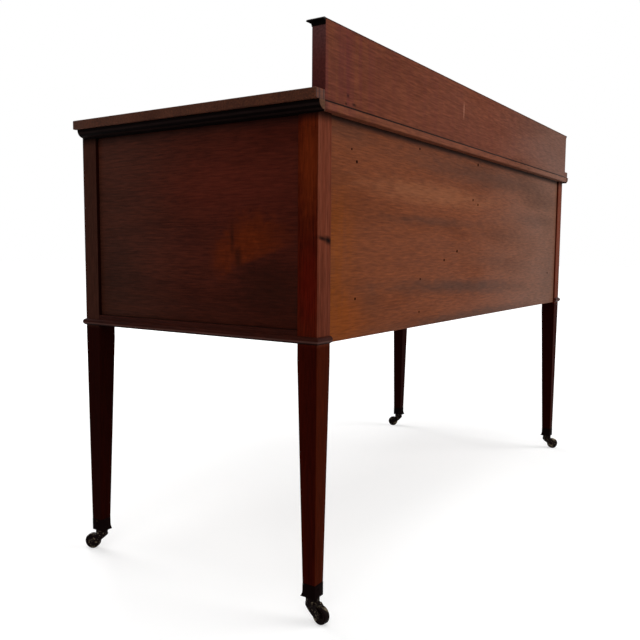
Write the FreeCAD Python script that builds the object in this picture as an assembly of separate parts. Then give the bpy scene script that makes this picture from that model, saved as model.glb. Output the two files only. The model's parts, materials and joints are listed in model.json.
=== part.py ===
import FreeCAD, Part
import math
import os

# Writing table: a five-drawer kneehole case on four tapered legs with brass castors,
# a top with a leather writing surface, and a low gallery board along the back edge.
# Millimetres, +Z up. The front faces -Y, and the end called right is at +X.
# Everything is drawn about the middle of the case on the floor, and the last step moves
# all of it so that the origin lies on the floor under the middle of the table's box.

Vec = FreeCAD.Vector

# Cuts run past the faces that they open by this much
overrun = 5.0

# Case, whose height runs from its foot to the writing surface
case_width = 1190.0
case_depth = 490.0
case_height = 350.0
post_size = 34.0

# Top board and its leather
writing_height = 760.0
top_thickness = 15.0
top_side_overhang = 18.0
top_front_overhang = 2.0
top_back_overhang = 7.5
top_edge_round = 1.5
leather_thickness = 1.0
leather_side_margin = 68.0
leather_front_margin = 62.0
leather_back_margin = 40.0

# Gallery board, let into the back edge of the top, and the moulding round its upper edge
gallery_height = 95.0
gallery_thickness = 22.5
gallery_end_inset = 5.0
cap_height = 9.0
cap_projection = 6.0
cap_edge_round = 3.0
cap_step = 0.5
cap_foot = 0.5

# Ovolo moulding under the ends of the top, and the plain strip under its back
ovolo_height = 15.0
ovolo_projection = 14.0
ovolo_quirk = 2.0
ovolo_front_setback = 4.0
strip_height = 12.0
strip_projection = 11.0
strip_round = 1.5

# Legs: the posts run up through the case, and taper below it towards the castors
leg_straight_drop = 25.0
leg_outer_taper = 2.2
leg_inner_taper = 9.8

# Panels and the grooves that hold them
side_panel_recess = 6.0
side_panel_thickness = 10.0
back_panel_recess = 4.0
back_panel_thickness = 10.0
panel_tongue = 8.0

# Rails, stiles and their stub tenons
front_rail_thickness = 18.0
bottom_rail_height = 18.5
side_rail_thickness = 22.0
stile_width = 20.0
tenon_shoulder = 4.0
post_tenon = 10.0
stile_tenon = 8.0

# Drawer openings
pedestal_opening = 300.0
upper_opening_height = 115.0
centre_opening_height = 100.0

# Boards and strips inside the case
pedestal_bottom_thickness = 10.0
soffit_thickness = 10.0
soffit_tongue = 6.0
runner_width = 22.0
guide_height = 20.0
kicker_width = 20.0
stop_length = 30.0
stop_depth = 12.0
stop_height = 5.0
stop_inset = 40.0

# Shaped brackets in the upper corners of the kneehole
bracket_reach = 62.0
bracket_tip = 8.0
bracket_thickness = 16.0
bracket_setback = 3.0

# Half-round bead along the foot of the case
bead_height = 11.0
bead_projection = 4.5

# Drawers
drawer_gap = 1.0
drawer_top_gap = 2.0
slide_gap = 0.3
drawer_front_thickness = 20.0
drawer_side_thickness = 10.0
drawer_back_thickness = 8.0
drawer_bottom_thickness = 6.0
drawer_back_clearance = 6.0
drawer_bottom_rise = 8.0
drawer_groove = 5.0
drawer_back_drop = 6.0
tail_length = 10.0
tail_pitch = 40.0
tail_base_share = 0.5
tail_tip_share = 0.68
fewest_tails = 2
cockbead_width = 3.0
cockbead_proud = 2.5
cockbead_depth = 8.0

# Drop handles: a turned post at each end of a bail
handle_width = 90.0
centre_handle_offset = 145.0
handle_reach = 14.0
rose_radius = 9.0
rose_thickness = 1.5
rose_bevel = 2.0
neck_radius = 3.5
head_radius = 5.5
head_half_length = 5.0
head_bevel = 1.5
bail_rod_radius = 2.6
bail_pin_radius = 2.0
bail_pin_bury = 5.0
bail_collar_radius = 3.4
bail_collar_length = 7.0
bail_collar_gap = 1.0
bail_drop = 30.0
bow_segments = 8
running_clearance = 0.05
pin_end_clearance = 0.5

# Locks and escutcheons
escutcheon_radius = 8.0
escutcheon_thickness = 1.2
keyhole_radius = 2.4
keyhole_slot_width = 2.4
keyhole_slot_length = 6.5
lock_width = 56.0
lock_height = 32.0
lock_depth = 9.0
lock_drop = 2.0

# Castors
cup_top = 57.5
cup_bottom = 37.0
cup_wall = 1.8
cup_proud = 0.8
cup_floor = 3.0
cup_flare = 2.6
cup_flare_height = 8.0
cup_flare_shares = ((0.0, 0.0), (0.5, 0.22), (0.82, 0.62), (1.0, 1.0))
swivel_gap = 0.4
boss_radius = 10.4
nose_radius = 10.9
boss_height = 9.0
pintle_radius = 4.0
rivet_radius = 5.2
rivet_thickness = 2.4
rivet_clearance = 0.4
castor_trail = 17.0
wheel_radius = 13.5
wheel_width = 11.0
wheel_bevel = 2.2
wheel_gap = 0.8
wheel_side_gap = 0.6
cheek_thickness = 2.4
eye_radius = 6.0
horn_bulge = 2.0
axle_radius = 2.25

# Directions in which the four castors trail, in degrees from +X
castor_headings = {
    "front_right": -67.0,
    "back_right": 79.0,
    "front_left": -75.0,
    "back_left": 135.0,
}

# Planes worked out from the sizes above
case_bottom = writing_height - case_height
half_width = case_width / 2
half_depth = case_depth / 2
front_y = -half_depth
back_y = half_depth
post_inner_x = half_width - post_size
post_inner_y = half_depth - post_size
rail_y = (front_y, -post_inner_y)

top_underside = writing_height - top_thickness
ovolo_bottom = top_underside - ovolo_height
strip_bottom = top_underside - strip_height
top_rail_bottom = top_underside - front_rail_thickness
divider_top = top_rail_bottom - upper_opening_height
divider_bottom = divider_top - front_rail_thickness
kneehole_rail_top = top_rail_bottom - centre_opening_height
kneehole_rail_bottom = kneehole_rail_top - front_rail_thickness
bottom_rail_top = case_bottom + bottom_rail_height

stile_outer_x = post_inner_x - pedestal_opening
kneehole_x = stile_outer_x - stile_width

side_panel_x = (half_width - side_panel_recess - side_panel_thickness, half_width - side_panel_recess)
back_panel_y = (back_y - back_panel_recess - back_panel_thickness, back_y - back_panel_recess)
side_rail_x = (half_width - side_rail_thickness, half_width)
back_rail_y = (post_inner_y, back_panel_y[0])

top_x = half_width + top_side_overhang
top_y = (front_y - top_front_overhang, back_y + top_back_overhang)
gallery_x = half_width - gallery_end_inset
gallery_y = (top_y[1] - gallery_thickness, top_y[1])
gallery_top = writing_height + gallery_height

foot_size = post_size - leg_outer_taper - leg_inner_taper
foot_axis_x = half_width - leg_outer_taper - foot_size / 2
foot_axis_y = half_depth - leg_outer_taper - foot_size / 2
cup_inner = foot_size + 2 * cup_proud - 2 * cup_wall

drawer_back_y = back_panel_y[0] - drawer_back_clearance
front_inner_y = front_y + drawer_front_thickness
pivot_y = front_y - handle_reach

quadrants = {
    "front_right": (1, -1),
    "back_right": (1, 1),
    "front_left": (-1, -1),
    "back_left": (-1, 1),
}


# General shapes

def block(x, y, z):
    """A box from its low and high limits along each axis."""
    corner = Vec(x[0], y[0], z[0])
    return Part.makeBox(x[1] - x[0], y[1] - y[0], z[1] - z[0], corner)


def mirrored(shape):
    """The same piece at the other end of the table."""
    return shape.mirror(Vec(0, 0, 0), Vec(1, 0, 0))


def both_ends(shapes):
    """The given pieces and their twins at the other end."""
    return list(shapes) + [mirrored(shape) for shape in shapes]


def joined(*shapes):
    """One solid from pieces of the same board or casting."""
    return shapes[0].multiFuse(shapes[1:]).removeSplitter()


def flat_face(start, steps):
    """A face whose outline runs from start: a step is an end, or a point on an arc and its end."""
    edges = []
    here = start
    for step in steps:
        there = step[-1]
        if len(step) == 2:
            edges.append(Part.Arc(here, step[0], there).toShape())
        else:
            edges.append(Part.LineSegment(here, there).toShape())
        here = there
    edges.append(Part.LineSegment(here, start).toShape())
    return Part.Face(Part.Wire(edges))


def on_circle(centre_x, centre_z, radius, degrees):
    """A point of a circle in the XZ plane."""
    turn = math.radians(degrees)
    return Vec(centre_x + radius * math.cos(turn), 0, centre_z + radius * math.sin(turn))


def tenoned_bar(x, y, z, along, tenons):
    """A rail with a stub tenon at each end, set in from its long faces by the shoulder."""
    core = []
    for axis, (low, high) in zip("xyz", (x, y, z)):
        if axis == along:
            core.append((low - tenons[0], high + tenons[1]))
        else:
            core.append((low + tenon_shoulder, high - tenon_shoulder))
    return joined(block(x, y, z), block(*core))


def moulding_run(section, base, span, heading, mitres):
    """A length of moulding. The section's X points outwards from the line at distance base,
    which runs over span and faces the heading. A mitre of 1 lengthens the outer edge by its
    own projection, and 0 leaves a square end."""
    reach = section.BoundBox.XMax + overrun
    low_z = section.BoundBox.ZMin - overrun
    high_z = section.BoundBox.ZMax + overrun
    first, last = span
    bar = section.copy()
    bar.translate(Vec(base, first - reach, 0))
    bar = bar.extrude(Vec(0, last - first + 2 * reach, 0))
    plan = flat_face(
        Vec(base, first, low_z),
        [
            [Vec(base + reach, first - mitres[0] * reach, low_z)],
            [Vec(base + reach, last + mitres[1] * reach, low_z)],
            [Vec(base, last, low_z)],
        ],
    )
    run = bar.common(plan.extrude(Vec(0, 0, high_z - low_z)))
    run.rotate(Vec(0, 0, 0), Vec(0, 0, 1), heading)
    return run


# Headings of a moulding that faces each side of the table
FACES_RIGHT = 0
FACES_BACK = 90
FACES_FRONT = -90
FACES_LEFT = 180

# A swept rod whose straight lengths meet in mitres
RIGHT_CORNERS = 1


# Top, leather and gallery

def make_leather():
    x_limit = top_x - leather_side_margin
    y_limits = (top_y[0] + leather_front_margin, gallery_y[0] - leather_back_margin)
    return block((-x_limit, x_limit), y_limits, (writing_height - leather_thickness, writing_height))


def make_gallery_board():
    return block((-gallery_x, gallery_x), gallery_y, (top_underside, gallery_top))


def make_top_board(leather, gallery):
    slab = block((-top_x, top_x), top_y, (top_underside, writing_height))
    level = [edge for edge in slab.Edges if abs(edge.tangentAt(edge.FirstParameter).z) < 0.5]
    return slab.makeFillet(top_edge_round, level).cut(gallery).cut(leather)


def cap_section():
    """Flat top with a rounded edge, then a quarter-round cove down to a thin foot on the board."""
    low = gallery_top - cap_height
    edge_low = gallery_top - cap_edge_round
    edge_in = cap_projection - cap_edge_round
    cove_out = cap_projection - cap_step
    radius = cove_out - cap_foot
    cove_low = edge_low - radius
    return flat_face(
        Vec(0, 0, low),
        [
            [Vec(cap_foot, 0, low)],
            [Vec(cap_foot, 0, cove_low)],
            [on_circle(cove_out, cove_low, radius, 135), Vec(cove_out, 0, edge_low)],
            [Vec(cap_projection, 0, edge_low)],
            [on_circle(edge_in, edge_low, cap_edge_round, 45), Vec(edge_in, 0, gallery_top)],
            [Vec(0, 0, gallery_top)],
        ],
    )


def make_gallery_moulding():
    section = cap_section()
    front = moulding_run(section, -gallery_y[0], (-gallery_x, gallery_x), FACES_FRONT, (1, 1))
    right = moulding_run(section, gallery_x, gallery_y, FACES_RIGHT, (1, 0))
    return [front, right, mirrored(right)]


def ovolo_section():
    """Quarter-round under the top with a small quirk at its foot."""
    radius = ovolo_projection - ovolo_quirk
    centre_z = ovolo_bottom + ovolo_quirk + radius
    return flat_face(
        Vec(0, 0, ovolo_bottom),
        [
            [Vec(ovolo_quirk, 0, ovolo_bottom)],
            [Vec(ovolo_quirk, 0, ovolo_bottom + ovolo_quirk)],
            [on_circle(ovolo_quirk, centre_z, radius, -45), Vec(ovolo_projection, 0, centre_z)],
            [Vec(ovolo_projection, 0, top_underside)],
            [Vec(0, 0, top_underside)],
        ],
    )


def make_side_mouldings():
    """The mouldings run past the back posts and hide the ends of the strip."""
    span = (front_y + ovolo_front_setback, back_y + strip_projection)
    run = moulding_run(ovolo_section(), half_width, span, FACES_RIGHT, (0, 0))
    filler = block(
        (side_panel_x[1], half_width), (-post_inner_y, post_inner_y), (ovolo_bottom, top_underside)
    )
    return both_ends([joined(run, filler)])


def make_back_strip():
    centre = (strip_projection - strip_round, strip_bottom + strip_round)
    section = flat_face(
        Vec(0, 0, strip_bottom),
        [
            [Vec(centre[0], 0, strip_bottom)],
            [on_circle(*centre, strip_round, -45), Vec(strip_projection, 0, centre[1])],
            [Vec(strip_projection, 0, top_underside)],
            [Vec(0, 0, top_underside)],
        ],
    )
    strip = moulding_run(section, back_y, (-half_width, half_width), FACES_BACK, (0, 0))
    filler = block(
        (-post_inner_x, post_inner_x), (back_panel_y[1], back_y), (strip_bottom, top_underside)
    )
    return joined(strip, filler)


# Case

def leg_square(z, outer_inset, inner_inset, signs):
    """The leg's outline at one height, set in from the post's outer and inner faces."""
    out_x, out_y = half_width - outer_inset, half_depth - outer_inset
    in_x, in_y = post_inner_x + inner_inset, post_inner_y + inner_inset
    corners = [(out_x, out_y), (in_x, out_y), (in_x, in_y), (out_x, in_y), (out_x, out_y)]
    return Part.makePolygon([Vec(signs[0] * x, signs[1] * y, z) for x, y in corners])


def whole_leg(signs):
    """Post, taper and the tenon that sits in the castor's cup, before the joints are cut."""
    taper_top = case_bottom - leg_straight_drop
    square_top = leg_square(taper_top, 0, 0, signs)
    post = Part.Face(square_top).extrude(Vec(0, 0, top_underside - taper_top))
    foot = leg_square(cup_top, leg_outer_taper, leg_inner_taper, signs)
    taper = Part.makeLoft([foot, square_top], True, True)
    tenon = cup_block(signs, cup_inner, (cup_bottom + cup_floor, cup_top))
    return joined(post, taper, tenon)


def cup_block(signs, size, z):
    """A square block about the foot of one leg."""
    x, y = signs[0] * foot_axis_x, signs[1] * foot_axis_y
    return block((x - size / 2, x + size / 2), (y - size / 2, y + size / 2), z)


def make_side_panel():
    y_limit = post_inner_y + panel_tongue
    return block(side_panel_x, (-y_limit, y_limit), (bottom_rail_top - panel_tongue, top_underside))


def make_back_panel():
    x_limit = post_inner_x + panel_tongue
    return block((-x_limit, x_limit), back_panel_y, (case_bottom, top_underside))


def make_side_rail(panel):
    span = (-post_inner_y, post_inner_y)
    rail = tenoned_bar(side_rail_x, span, (case_bottom, bottom_rail_top), "y", (post_tenon, post_tenon))
    return rail.cut(panel)


def make_top_rail(y_limits):
    """Front or back rail under the top, between the posts."""
    span = (-post_inner_x, post_inner_x)
    return tenoned_bar(span, y_limits, (top_rail_bottom, top_underside), "x", (post_tenon, post_tenon))


def make_pedestal_rail(z):
    """Divider or bottom rail between a stile and a front post."""
    return tenoned_bar((stile_outer_x, post_inner_x), rail_y, z, "x", (stile_tenon, post_tenon))


def make_kneehole_rail():
    span = (-kneehole_x, kneehole_x)
    z = (kneehole_rail_bottom, kneehole_rail_top)
    return tenoned_bar(span, rail_y, z, "x", (stile_tenon, stile_tenon))


def make_stile():
    """Upright beside the kneehole, tenoned up into the top rail."""
    x = (kneehole_x, stile_outer_x)
    z = (case_bottom, top_rail_bottom)
    return tenoned_bar(x, rail_y, z, "z", (0, stile_tenon))


def make_bracket():
    """Corner bracket under the kneehole rail, hollowed to a quarter circle."""
    y = front_y + bracket_setback
    x, z = kneehole_x, kneehole_rail_bottom
    radius = bracket_reach - bracket_tip
    hollow = on_circle(x - bracket_reach, z - bracket_reach, radius, 45)
    face = flat_face(
        Vec(x, 0, z),
        [
            [Vec(x - bracket_reach, 0, z)],
            [Vec(x - bracket_reach, 0, z - bracket_tip)],
            [hollow, Vec(x - bracket_tip, 0, z - bracket_reach)],
            [Vec(x, 0, z - bracket_reach)],
        ],
    )
    face.translate(Vec(0, y, 0))
    return face.extrude(Vec(0, bracket_thickness, 0))


def make_soffit():
    """Board over the kneehole, on which the centre drawer runs."""
    x_limit = kneehole_x + soffit_tongue
    z = (kneehole_rail_top - soffit_thickness, kneehole_rail_top)
    return block((-x_limit, x_limit), (-post_inner_y, back_panel_y[0]), z)


def make_partition(soffit, back_rail):
    y = (-post_inner_y, back_panel_y[0])
    board = block((kneehole_x, stile_outer_x), y, (case_bottom, top_underside))
    return board.cut(soffit).cut(back_rail)


def make_pedestal_bottom(back_leg):
    y = (-post_inner_y, back_panel_y[0])
    z = (bottom_rail_top - pedestal_bottom_thickness, bottom_rail_top)
    return block((stile_outer_x, side_rail_x[0]), y, z).cut(back_leg)


def make_runners():
    """Strips that carry the upper drawers, and the guides that keep the drawers straight."""
    between_posts = (-post_inner_y, post_inner_y)
    guide_x = (post_inner_x, side_panel_x[0])
    runner_z = (divider_bottom, divider_top)
    inner = block(
        (stile_outer_x, stile_outer_x + runner_width), (-post_inner_y, back_panel_y[0]), runner_z
    )
    outer = joined(
        block((post_inner_x - runner_width, side_panel_x[0]), between_posts, runner_z),
        block(guide_x, between_posts, (divider_top, divider_top + guide_height)),
    )
    low_guide = block(guide_x, between_posts, (bottom_rail_top, bottom_rail_top + guide_height))
    return both_ends([inner, outer, low_guide])


def make_kickers():
    """Strips under the top that stop an open drawer from tipping."""
    y = (-post_inner_y, post_inner_y)
    z = (top_rail_bottom, top_underside)
    outer = block((post_inner_x - kicker_width, side_panel_x[0]), y, z)
    inner = block((stile_outer_x, stile_outer_x + kicker_width), y, z)
    centre = block((kneehole_x - kicker_width, kneehole_x), y, z)
    return both_ends([outer, inner, centre])


def make_stops(openings):
    """Small blocks on the rails, against which the drawer fronts close."""
    low_y = front_inner_y + slide_gap
    stops = []
    for x, z in openings.values():
        for start in (x[0] + stop_inset, x[1] - stop_inset - stop_length):
            stops.append(
                block((start, start + stop_length), (low_y, low_y + stop_depth), (z[0], z[0] + stop_height))
            )
    return stops


def make_base_beads():
    """Mitred lengths of bead round each pedestal, from the back post to the kneehole."""
    middle = case_bottom + bead_height / 2
    section = flat_face(
        Vec(0, 0, case_bottom),
        [[Vec(bead_projection, 0, middle), Vec(0, 0, case_bottom + bead_height)]],
    )
    back = moulding_run(section, half_depth, (-half_width, -post_inner_x), FACES_BACK, (1, 0))
    side = moulding_run(section, half_width, (-half_depth, half_depth), FACES_RIGHT, (1, 1))
    front = moulding_run(section, half_depth, (kneehole_x, half_width), FACES_FRONT, (1, 1))
    turn_in = moulding_run(section, -kneehole_x, (post_inner_y, half_depth), FACES_LEFT, (0, 1))
    return both_ends([back, side, front, turn_in])


# Castors, drawn about the pintle with the wheel trailing along +X

def turned(profile):
    """A revolved piece whose profile's X is the radius and Z the axis."""
    return profile.revolve(Vec(0, 0, 0), Vec(0, 0, 1), 360)


def make_castor_socket(signs):
    """Square cup with a flared lip, and the pintle riveted under it."""
    x, y = signs[0] * foot_axis_x, signs[1] * foot_axis_y
    size = foot_size + 2 * cup_proud
    sections = [(cup_top, size)]
    for fall_share, flare_share in cup_flare_shares:
        z = cup_bottom + cup_flare_height * (1 - fall_share)
        sections.append((z, size + 2 * cup_flare * flare_share))
    wires = []
    for z, side in sections:
        half = side / 2
        corners = [(half, half), (-half, half), (-half, -half), (half, -half), (half, half)]
        wires.append(Part.makePolygon([Vec(x + dx, y + dy, z) for dx, dy in corners]))
    cup = Part.makeLoft(wires, True, True)
    hollow = cup_block(signs, cup_inner, (cup_bottom + cup_floor, cup_top + overrun))
    pin_low = cup_bottom - swivel_gap - boss_height - rivet_clearance
    pin = Part.makeCylinder(pintle_radius, cup_bottom - pin_low, Vec(x, y, pin_low))
    rivet = Part.makeCylinder(rivet_radius, rivet_thickness, Vec(x, y, pin_low - rivet_thickness))
    return joined(cup.cut(hollow), pin, rivet)


def make_horn():
    """Fork of the castor: a round nose and boss about the pintle, and two cheeks that carry the axle."""
    boss_top = cup_bottom - swivel_gap
    boss_low = boss_top - boss_height
    half_slot = wheel_width / 2 + wheel_side_gap
    half_fork = half_slot + cheek_thickness
    lead = Vec(-boss_radius, 0, boss_low)
    toe = on_circle(castor_trail, wheel_radius, eye_radius, 225)
    heel = on_circle(castor_trail, wheel_radius, eye_radius, 60)
    run = toe - lead
    outward = Vec(run.z, 0, -run.x).normalize()
    belly = (lead + toe) * 0.5 + outward * horn_bulge
    cheek = flat_face(
        Vec(-boss_radius, 0, boss_top),
        [
            [lead],
            [belly, toe],
            [on_circle(castor_trail, wheel_radius, eye_radius, 322), heel],
            [Vec(boss_radius, 0, boss_low)],
            [Vec(boss_radius, 0, boss_top)],
        ],
    )
    cheek.translate(Vec(0, -half_fork, 0))
    fork = cheek.extrude(Vec(0, 2 * half_fork, 0))
    round_crown = Part.makeCylinder(boss_radius, boss_height, Vec(0, 0, boss_low))
    crown_room = block((-boss_radius, boss_radius), (-half_fork, half_fork), (boss_low, boss_top))
    round_nose = joined(
        Part.makeCylinder(nose_radius, boss_top, Vec(0, 0, 0)),
        block((0, castor_trail + eye_radius), (-half_fork, half_fork), (0, boss_top)),
    )
    fork = joined(fork.cut(crown_room).common(round_nose), round_crown)
    wheel_room = Part.makeCylinder(
        wheel_radius + wheel_gap, 2 * half_slot, Vec(castor_trail, -half_slot, wheel_radius), Vec(0, 1, 0)
    )
    pintle_hole = Part.makeCylinder(
        pintle_radius + running_clearance, boss_height + 2 * overrun, Vec(0, 0, boss_low - overrun)
    )
    rivet_room = Part.makeCylinder(rivet_radius + rivet_clearance, boss_low, Vec(0, 0, 0))
    axle = Part.makeCylinder(
        axle_radius, 2 * half_fork, Vec(castor_trail, -half_fork, wheel_radius), Vec(0, 1, 0)
    )
    fork = fork.cut(wheel_room).cut(pintle_hole).cut(rivet_room).cut(axle)
    return [fork, axle]


def make_wheel():
    """Brass wheel with bevelled edges, bored for the axle."""
    half = wheel_width / 2
    bore = axle_radius + running_clearance
    shoulder = wheel_radius - wheel_bevel
    tread = half - wheel_bevel
    profile = flat_face(
        Vec(bore, 0, -half),
        [
            [Vec(shoulder, 0, -half)],
            [Vec(wheel_radius, 0, -tread)],
            [Vec(wheel_radius, 0, tread)],
            [Vec(shoulder, 0, half)],
            [Vec(bore, 0, half)],
        ],
    )
    wheel = turned(profile)
    wheel.rotate(Vec(0, 0, 0), Vec(1, 0, 0), 90)
    wheel.translate(Vec(castor_trail, 0, wheel_radius))
    return wheel


def under_leg(shape, corner):
    """A castor's piece turned to its heading and moved under its leg."""
    placed = shape.copy()
    placed.rotate(Vec(0, 0, 0), Vec(0, 0, 1), castor_headings[corner])
    signs = quadrants[corner]
    placed.translate(Vec(signs[0] * foot_axis_x, signs[1] * foot_axis_y, 0))
    return placed


# Drawers

def cockbead_section(out_low, out_high):
    """Strip with a rounded nose; X is across the strip and Z is its depth."""
    nose = cockbead_width / 2
    return flat_face(
        Vec(out_low, 0, -cockbead_depth),
        [
            [Vec(out_high, 0, -cockbead_depth)],
            [Vec(out_high, 0, cockbead_proud - nose)],
            [Vec((out_low + out_high) / 2, 0, cockbead_proud), Vec(out_low, 0, cockbead_proud - nose)],
        ],
    )


def make_cockbeads(x, z):
    """Four mitred strips round a drawer front."""
    section = cockbead_section(0, cockbead_width)
    half_x, half_z = (x[1] - x[0]) / 2 - cockbead_width, (z[1] - z[0]) / 2 - cockbead_width
    across = [(half_x, half_z, FACES_RIGHT), (half_z, half_x, FACES_BACK)]
    across += [(half_x, half_z, FACES_LEFT), (half_z, half_x, FACES_FRONT)]
    beads = []
    for base, half_run, heading in across:
        bead = moulding_run(section, base, (-half_run, half_run), heading, (1, 1))
        bead.rotate(Vec(0, 0, 0), Vec(1, 0, 0), 90)
        bead.translate(Vec((x[0] + x[1]) / 2, front_y, (z[0] + z[1]) / 2))
        beads.append(bead)
    return beads


def dovetails(x, z):
    """Tails on the front end of one drawer side."""
    height = z[1] - z[0]
    count = max(fewest_tails, round(height / tail_pitch))
    step = height / count
    tails = []
    for index in range(count):
        middle = z[0] + step * (index + 0.5)
        base = step * tail_base_share / 2
        tip = step * tail_tip_share / 2
        tip_y = front_inner_y - tail_length
        face = flat_face(
            Vec(x[0], front_inner_y, middle - base),
            [
                [Vec(x[0], tip_y, middle - tip)],
                [Vec(x[0], tip_y, middle + tip)],
                [Vec(x[0], front_inner_y, middle + base)],
            ],
        )
        tails.append(face.extrude(Vec(x[1] - x[0], 0, 0)))
    return tails


def make_drawer(opening, handles_x):
    """Front, dovetailed box, brassware and bails of the drawer that fills one opening."""
    (x_low, x_high), (z_low, z_high) = opening
    x = (x_low + drawer_gap, x_high - drawer_gap)
    z = (z_low + drawer_gap, z_high - drawer_gap)
    middle_x = (x[0] + x[1]) / 2
    middle_z = (z[0] + z[1]) / 2

    side_z = (z_low + slide_gap, z_high - drawer_top_gap - drawer_gap)
    bottom_z = side_z[0] + drawer_bottom_rise
    bottom_top = bottom_z + drawer_bottom_thickness
    inner_x = (x[0] + drawer_side_thickness, x[1] - drawer_side_thickness)
    bottom = block(
        (inner_x[0] - drawer_groove, inner_x[1] + drawer_groove),
        (front_inner_y - drawer_groove, drawer_back_y),
        (bottom_z, bottom_top),
    )
    back = block(
        (inner_x[0] - drawer_groove, inner_x[1] + drawer_groove),
        (drawer_back_y - drawer_back_thickness, drawer_back_y),
        (bottom_top, side_z[1] - drawer_back_drop),
    )

    boards = []
    tails = []
    for side_x in ((x[0], inner_x[0]), (inner_x[1], x[1])):
        side_tails = dovetails(side_x, side_z)
        board = block(side_x, (front_inner_y, drawer_back_y), side_z)
        boards.append(joined(board, *side_tails).cut(bottom).cut(back))
        tails += side_tails

    rebate_y = front_y + cockbead_depth
    face_x = (x[0] + cockbead_width, x[1] - cockbead_width)
    face_z = (z[0] + cockbead_width, z[1] - cockbead_width)
    front = joined(
        block(x, (rebate_y, front_inner_y), z),
        block(face_x, (front_y, rebate_y), face_z),
    )

    posts = [make_handle_posts(handle_x, middle_z) for handle_x in handles_x]
    posts = [post for pair in posts for post in pair]
    escutcheon, lock, keyhole = make_lock(middle_x, z[1])
    for cutter in tails + [bottom, lock, keyhole]:
        front = front.cut(cutter)

    return {
        "front": [front] + make_cockbeads(x, z),
        "box": boards + [back, bottom],
        "brass": posts + [escutcheon, lock],
        "bails": [make_bail(handle_x, middle_z) for handle_x in handles_x],
    }


# Handles and locks

def facing_front(shape, x, z):
    """Turn a piece drawn with its axis along +Z so that it stands out of the drawer front."""
    shape.rotate(Vec(0, 0, 0), Vec(1, 0, 0), 90)
    shape.translate(Vec(x, front_y, z))
    return shape


def make_handle_posts(x, z):
    """Turned posts, each with a rose, a neck and a head bored for the bail's pin."""
    head_low = handle_reach - head_half_length
    head_high = handle_reach + head_half_length
    profile = flat_face(
        Vec(0, 0, 0),
        [
            [Vec(rose_radius, 0, 0)],
            [Vec(rose_radius, 0, rose_thickness)],
            [Vec(neck_radius, 0, rose_thickness + rose_bevel)],
            [Vec(neck_radius, 0, head_low)],
            [Vec(head_radius, 0, head_low + head_bevel)],
            [Vec(head_radius, 0, head_high - head_bevel)],
            [Vec(head_radius - head_bevel, 0, head_high)],
            [Vec(0, 0, head_high)],
        ],
    )
    bore_depth = bail_pin_bury + pin_end_clearance
    posts = []
    for sign in (-1, 1):
        post_x = x + sign * handle_width / 2
        post = facing_front(turned(profile), post_x, z)
        mouth_x = post_x - sign * (head_radius + overrun)
        bore = Part.makeCylinder(
            bail_pin_radius + running_clearance,
            bore_depth + overrun,
            Vec(mouth_x, pivot_y, z),
            Vec(sign, 0, 0),
        )
        posts.append(post.cut(bore))
    return posts


def make_bail(x, z):
    """Swinging handle: a bowed rod between two collars, whose pins turn in the posts' heads."""
    collar_out = handle_width / 2 - head_radius - bail_collar_gap
    collar_in = collar_out - bail_collar_length
    bow_x = (collar_out + collar_in) / 2
    bow_radius = (bow_x ** 2 + bail_drop ** 2) / (2 * bail_drop)
    bow_centre_z = bow_radius - bail_drop
    half_turn = math.degrees(math.atan2(bow_x, bow_centre_z))
    points = []
    for index in range(bow_segments + 1):
        bearing = -90 + half_turn * (1 - 2 * index / bow_segments)
        points.append(on_circle(0, bow_centre_z, bow_radius, bearing))
    ring = Part.makeCircle(bail_rod_radius, points[0], points[1] - points[0])
    bow = Part.makePolygon(points).makePipeShell([Part.Wire(ring)], True, False, RIGHT_CORNERS)
    pin_length = bail_collar_gap + bail_pin_bury
    end = [
        Part.makeCylinder(bail_collar_radius, bail_collar_length, Vec(collar_in, 0, 0), Vec(1, 0, 0)),
        Part.makeCylinder(bail_pin_radius, pin_length, Vec(collar_out, 0, 0), Vec(1, 0, 0)),
    ]
    bail = joined(bow, *both_ends(end))
    bail.translate(Vec(x, pivot_y, z))
    return bail


def make_lock(x, front_top):
    """Escutcheon on the drawer front, lock case behind it, and the keyhole through both."""
    lock_top = front_top - cockbead_width - lock_drop
    key_z = lock_top - lock_height / 2
    slot_z = key_z - keyhole_slot_length
    through = (front_y - escutcheon_thickness - overrun, front_inner_y - lock_depth)
    barrel = Part.makeCylinder(
        keyhole_radius, through[1] - through[0], Vec(x, through[0], key_z), Vec(0, 1, 0)
    )
    slot = block((x - keyhole_slot_width / 2, x + keyhole_slot_width / 2), through, (slot_z, key_z))
    keyhole = joined(barrel, slot)
    plate = Part.makeCylinder(
        escutcheon_radius, escutcheon_thickness, Vec(x, front_y - escutcheon_thickness, key_z), Vec(0, 1, 0)
    )
    lock = block(
        (x - lock_width / 2, x + lock_width / 2),
        (front_inner_y - lock_depth, front_inner_y),
        (lock_top - lock_height, lock_top),
    )
    return plate.cut(keyhole), lock, keyhole


# Assembly

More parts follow.
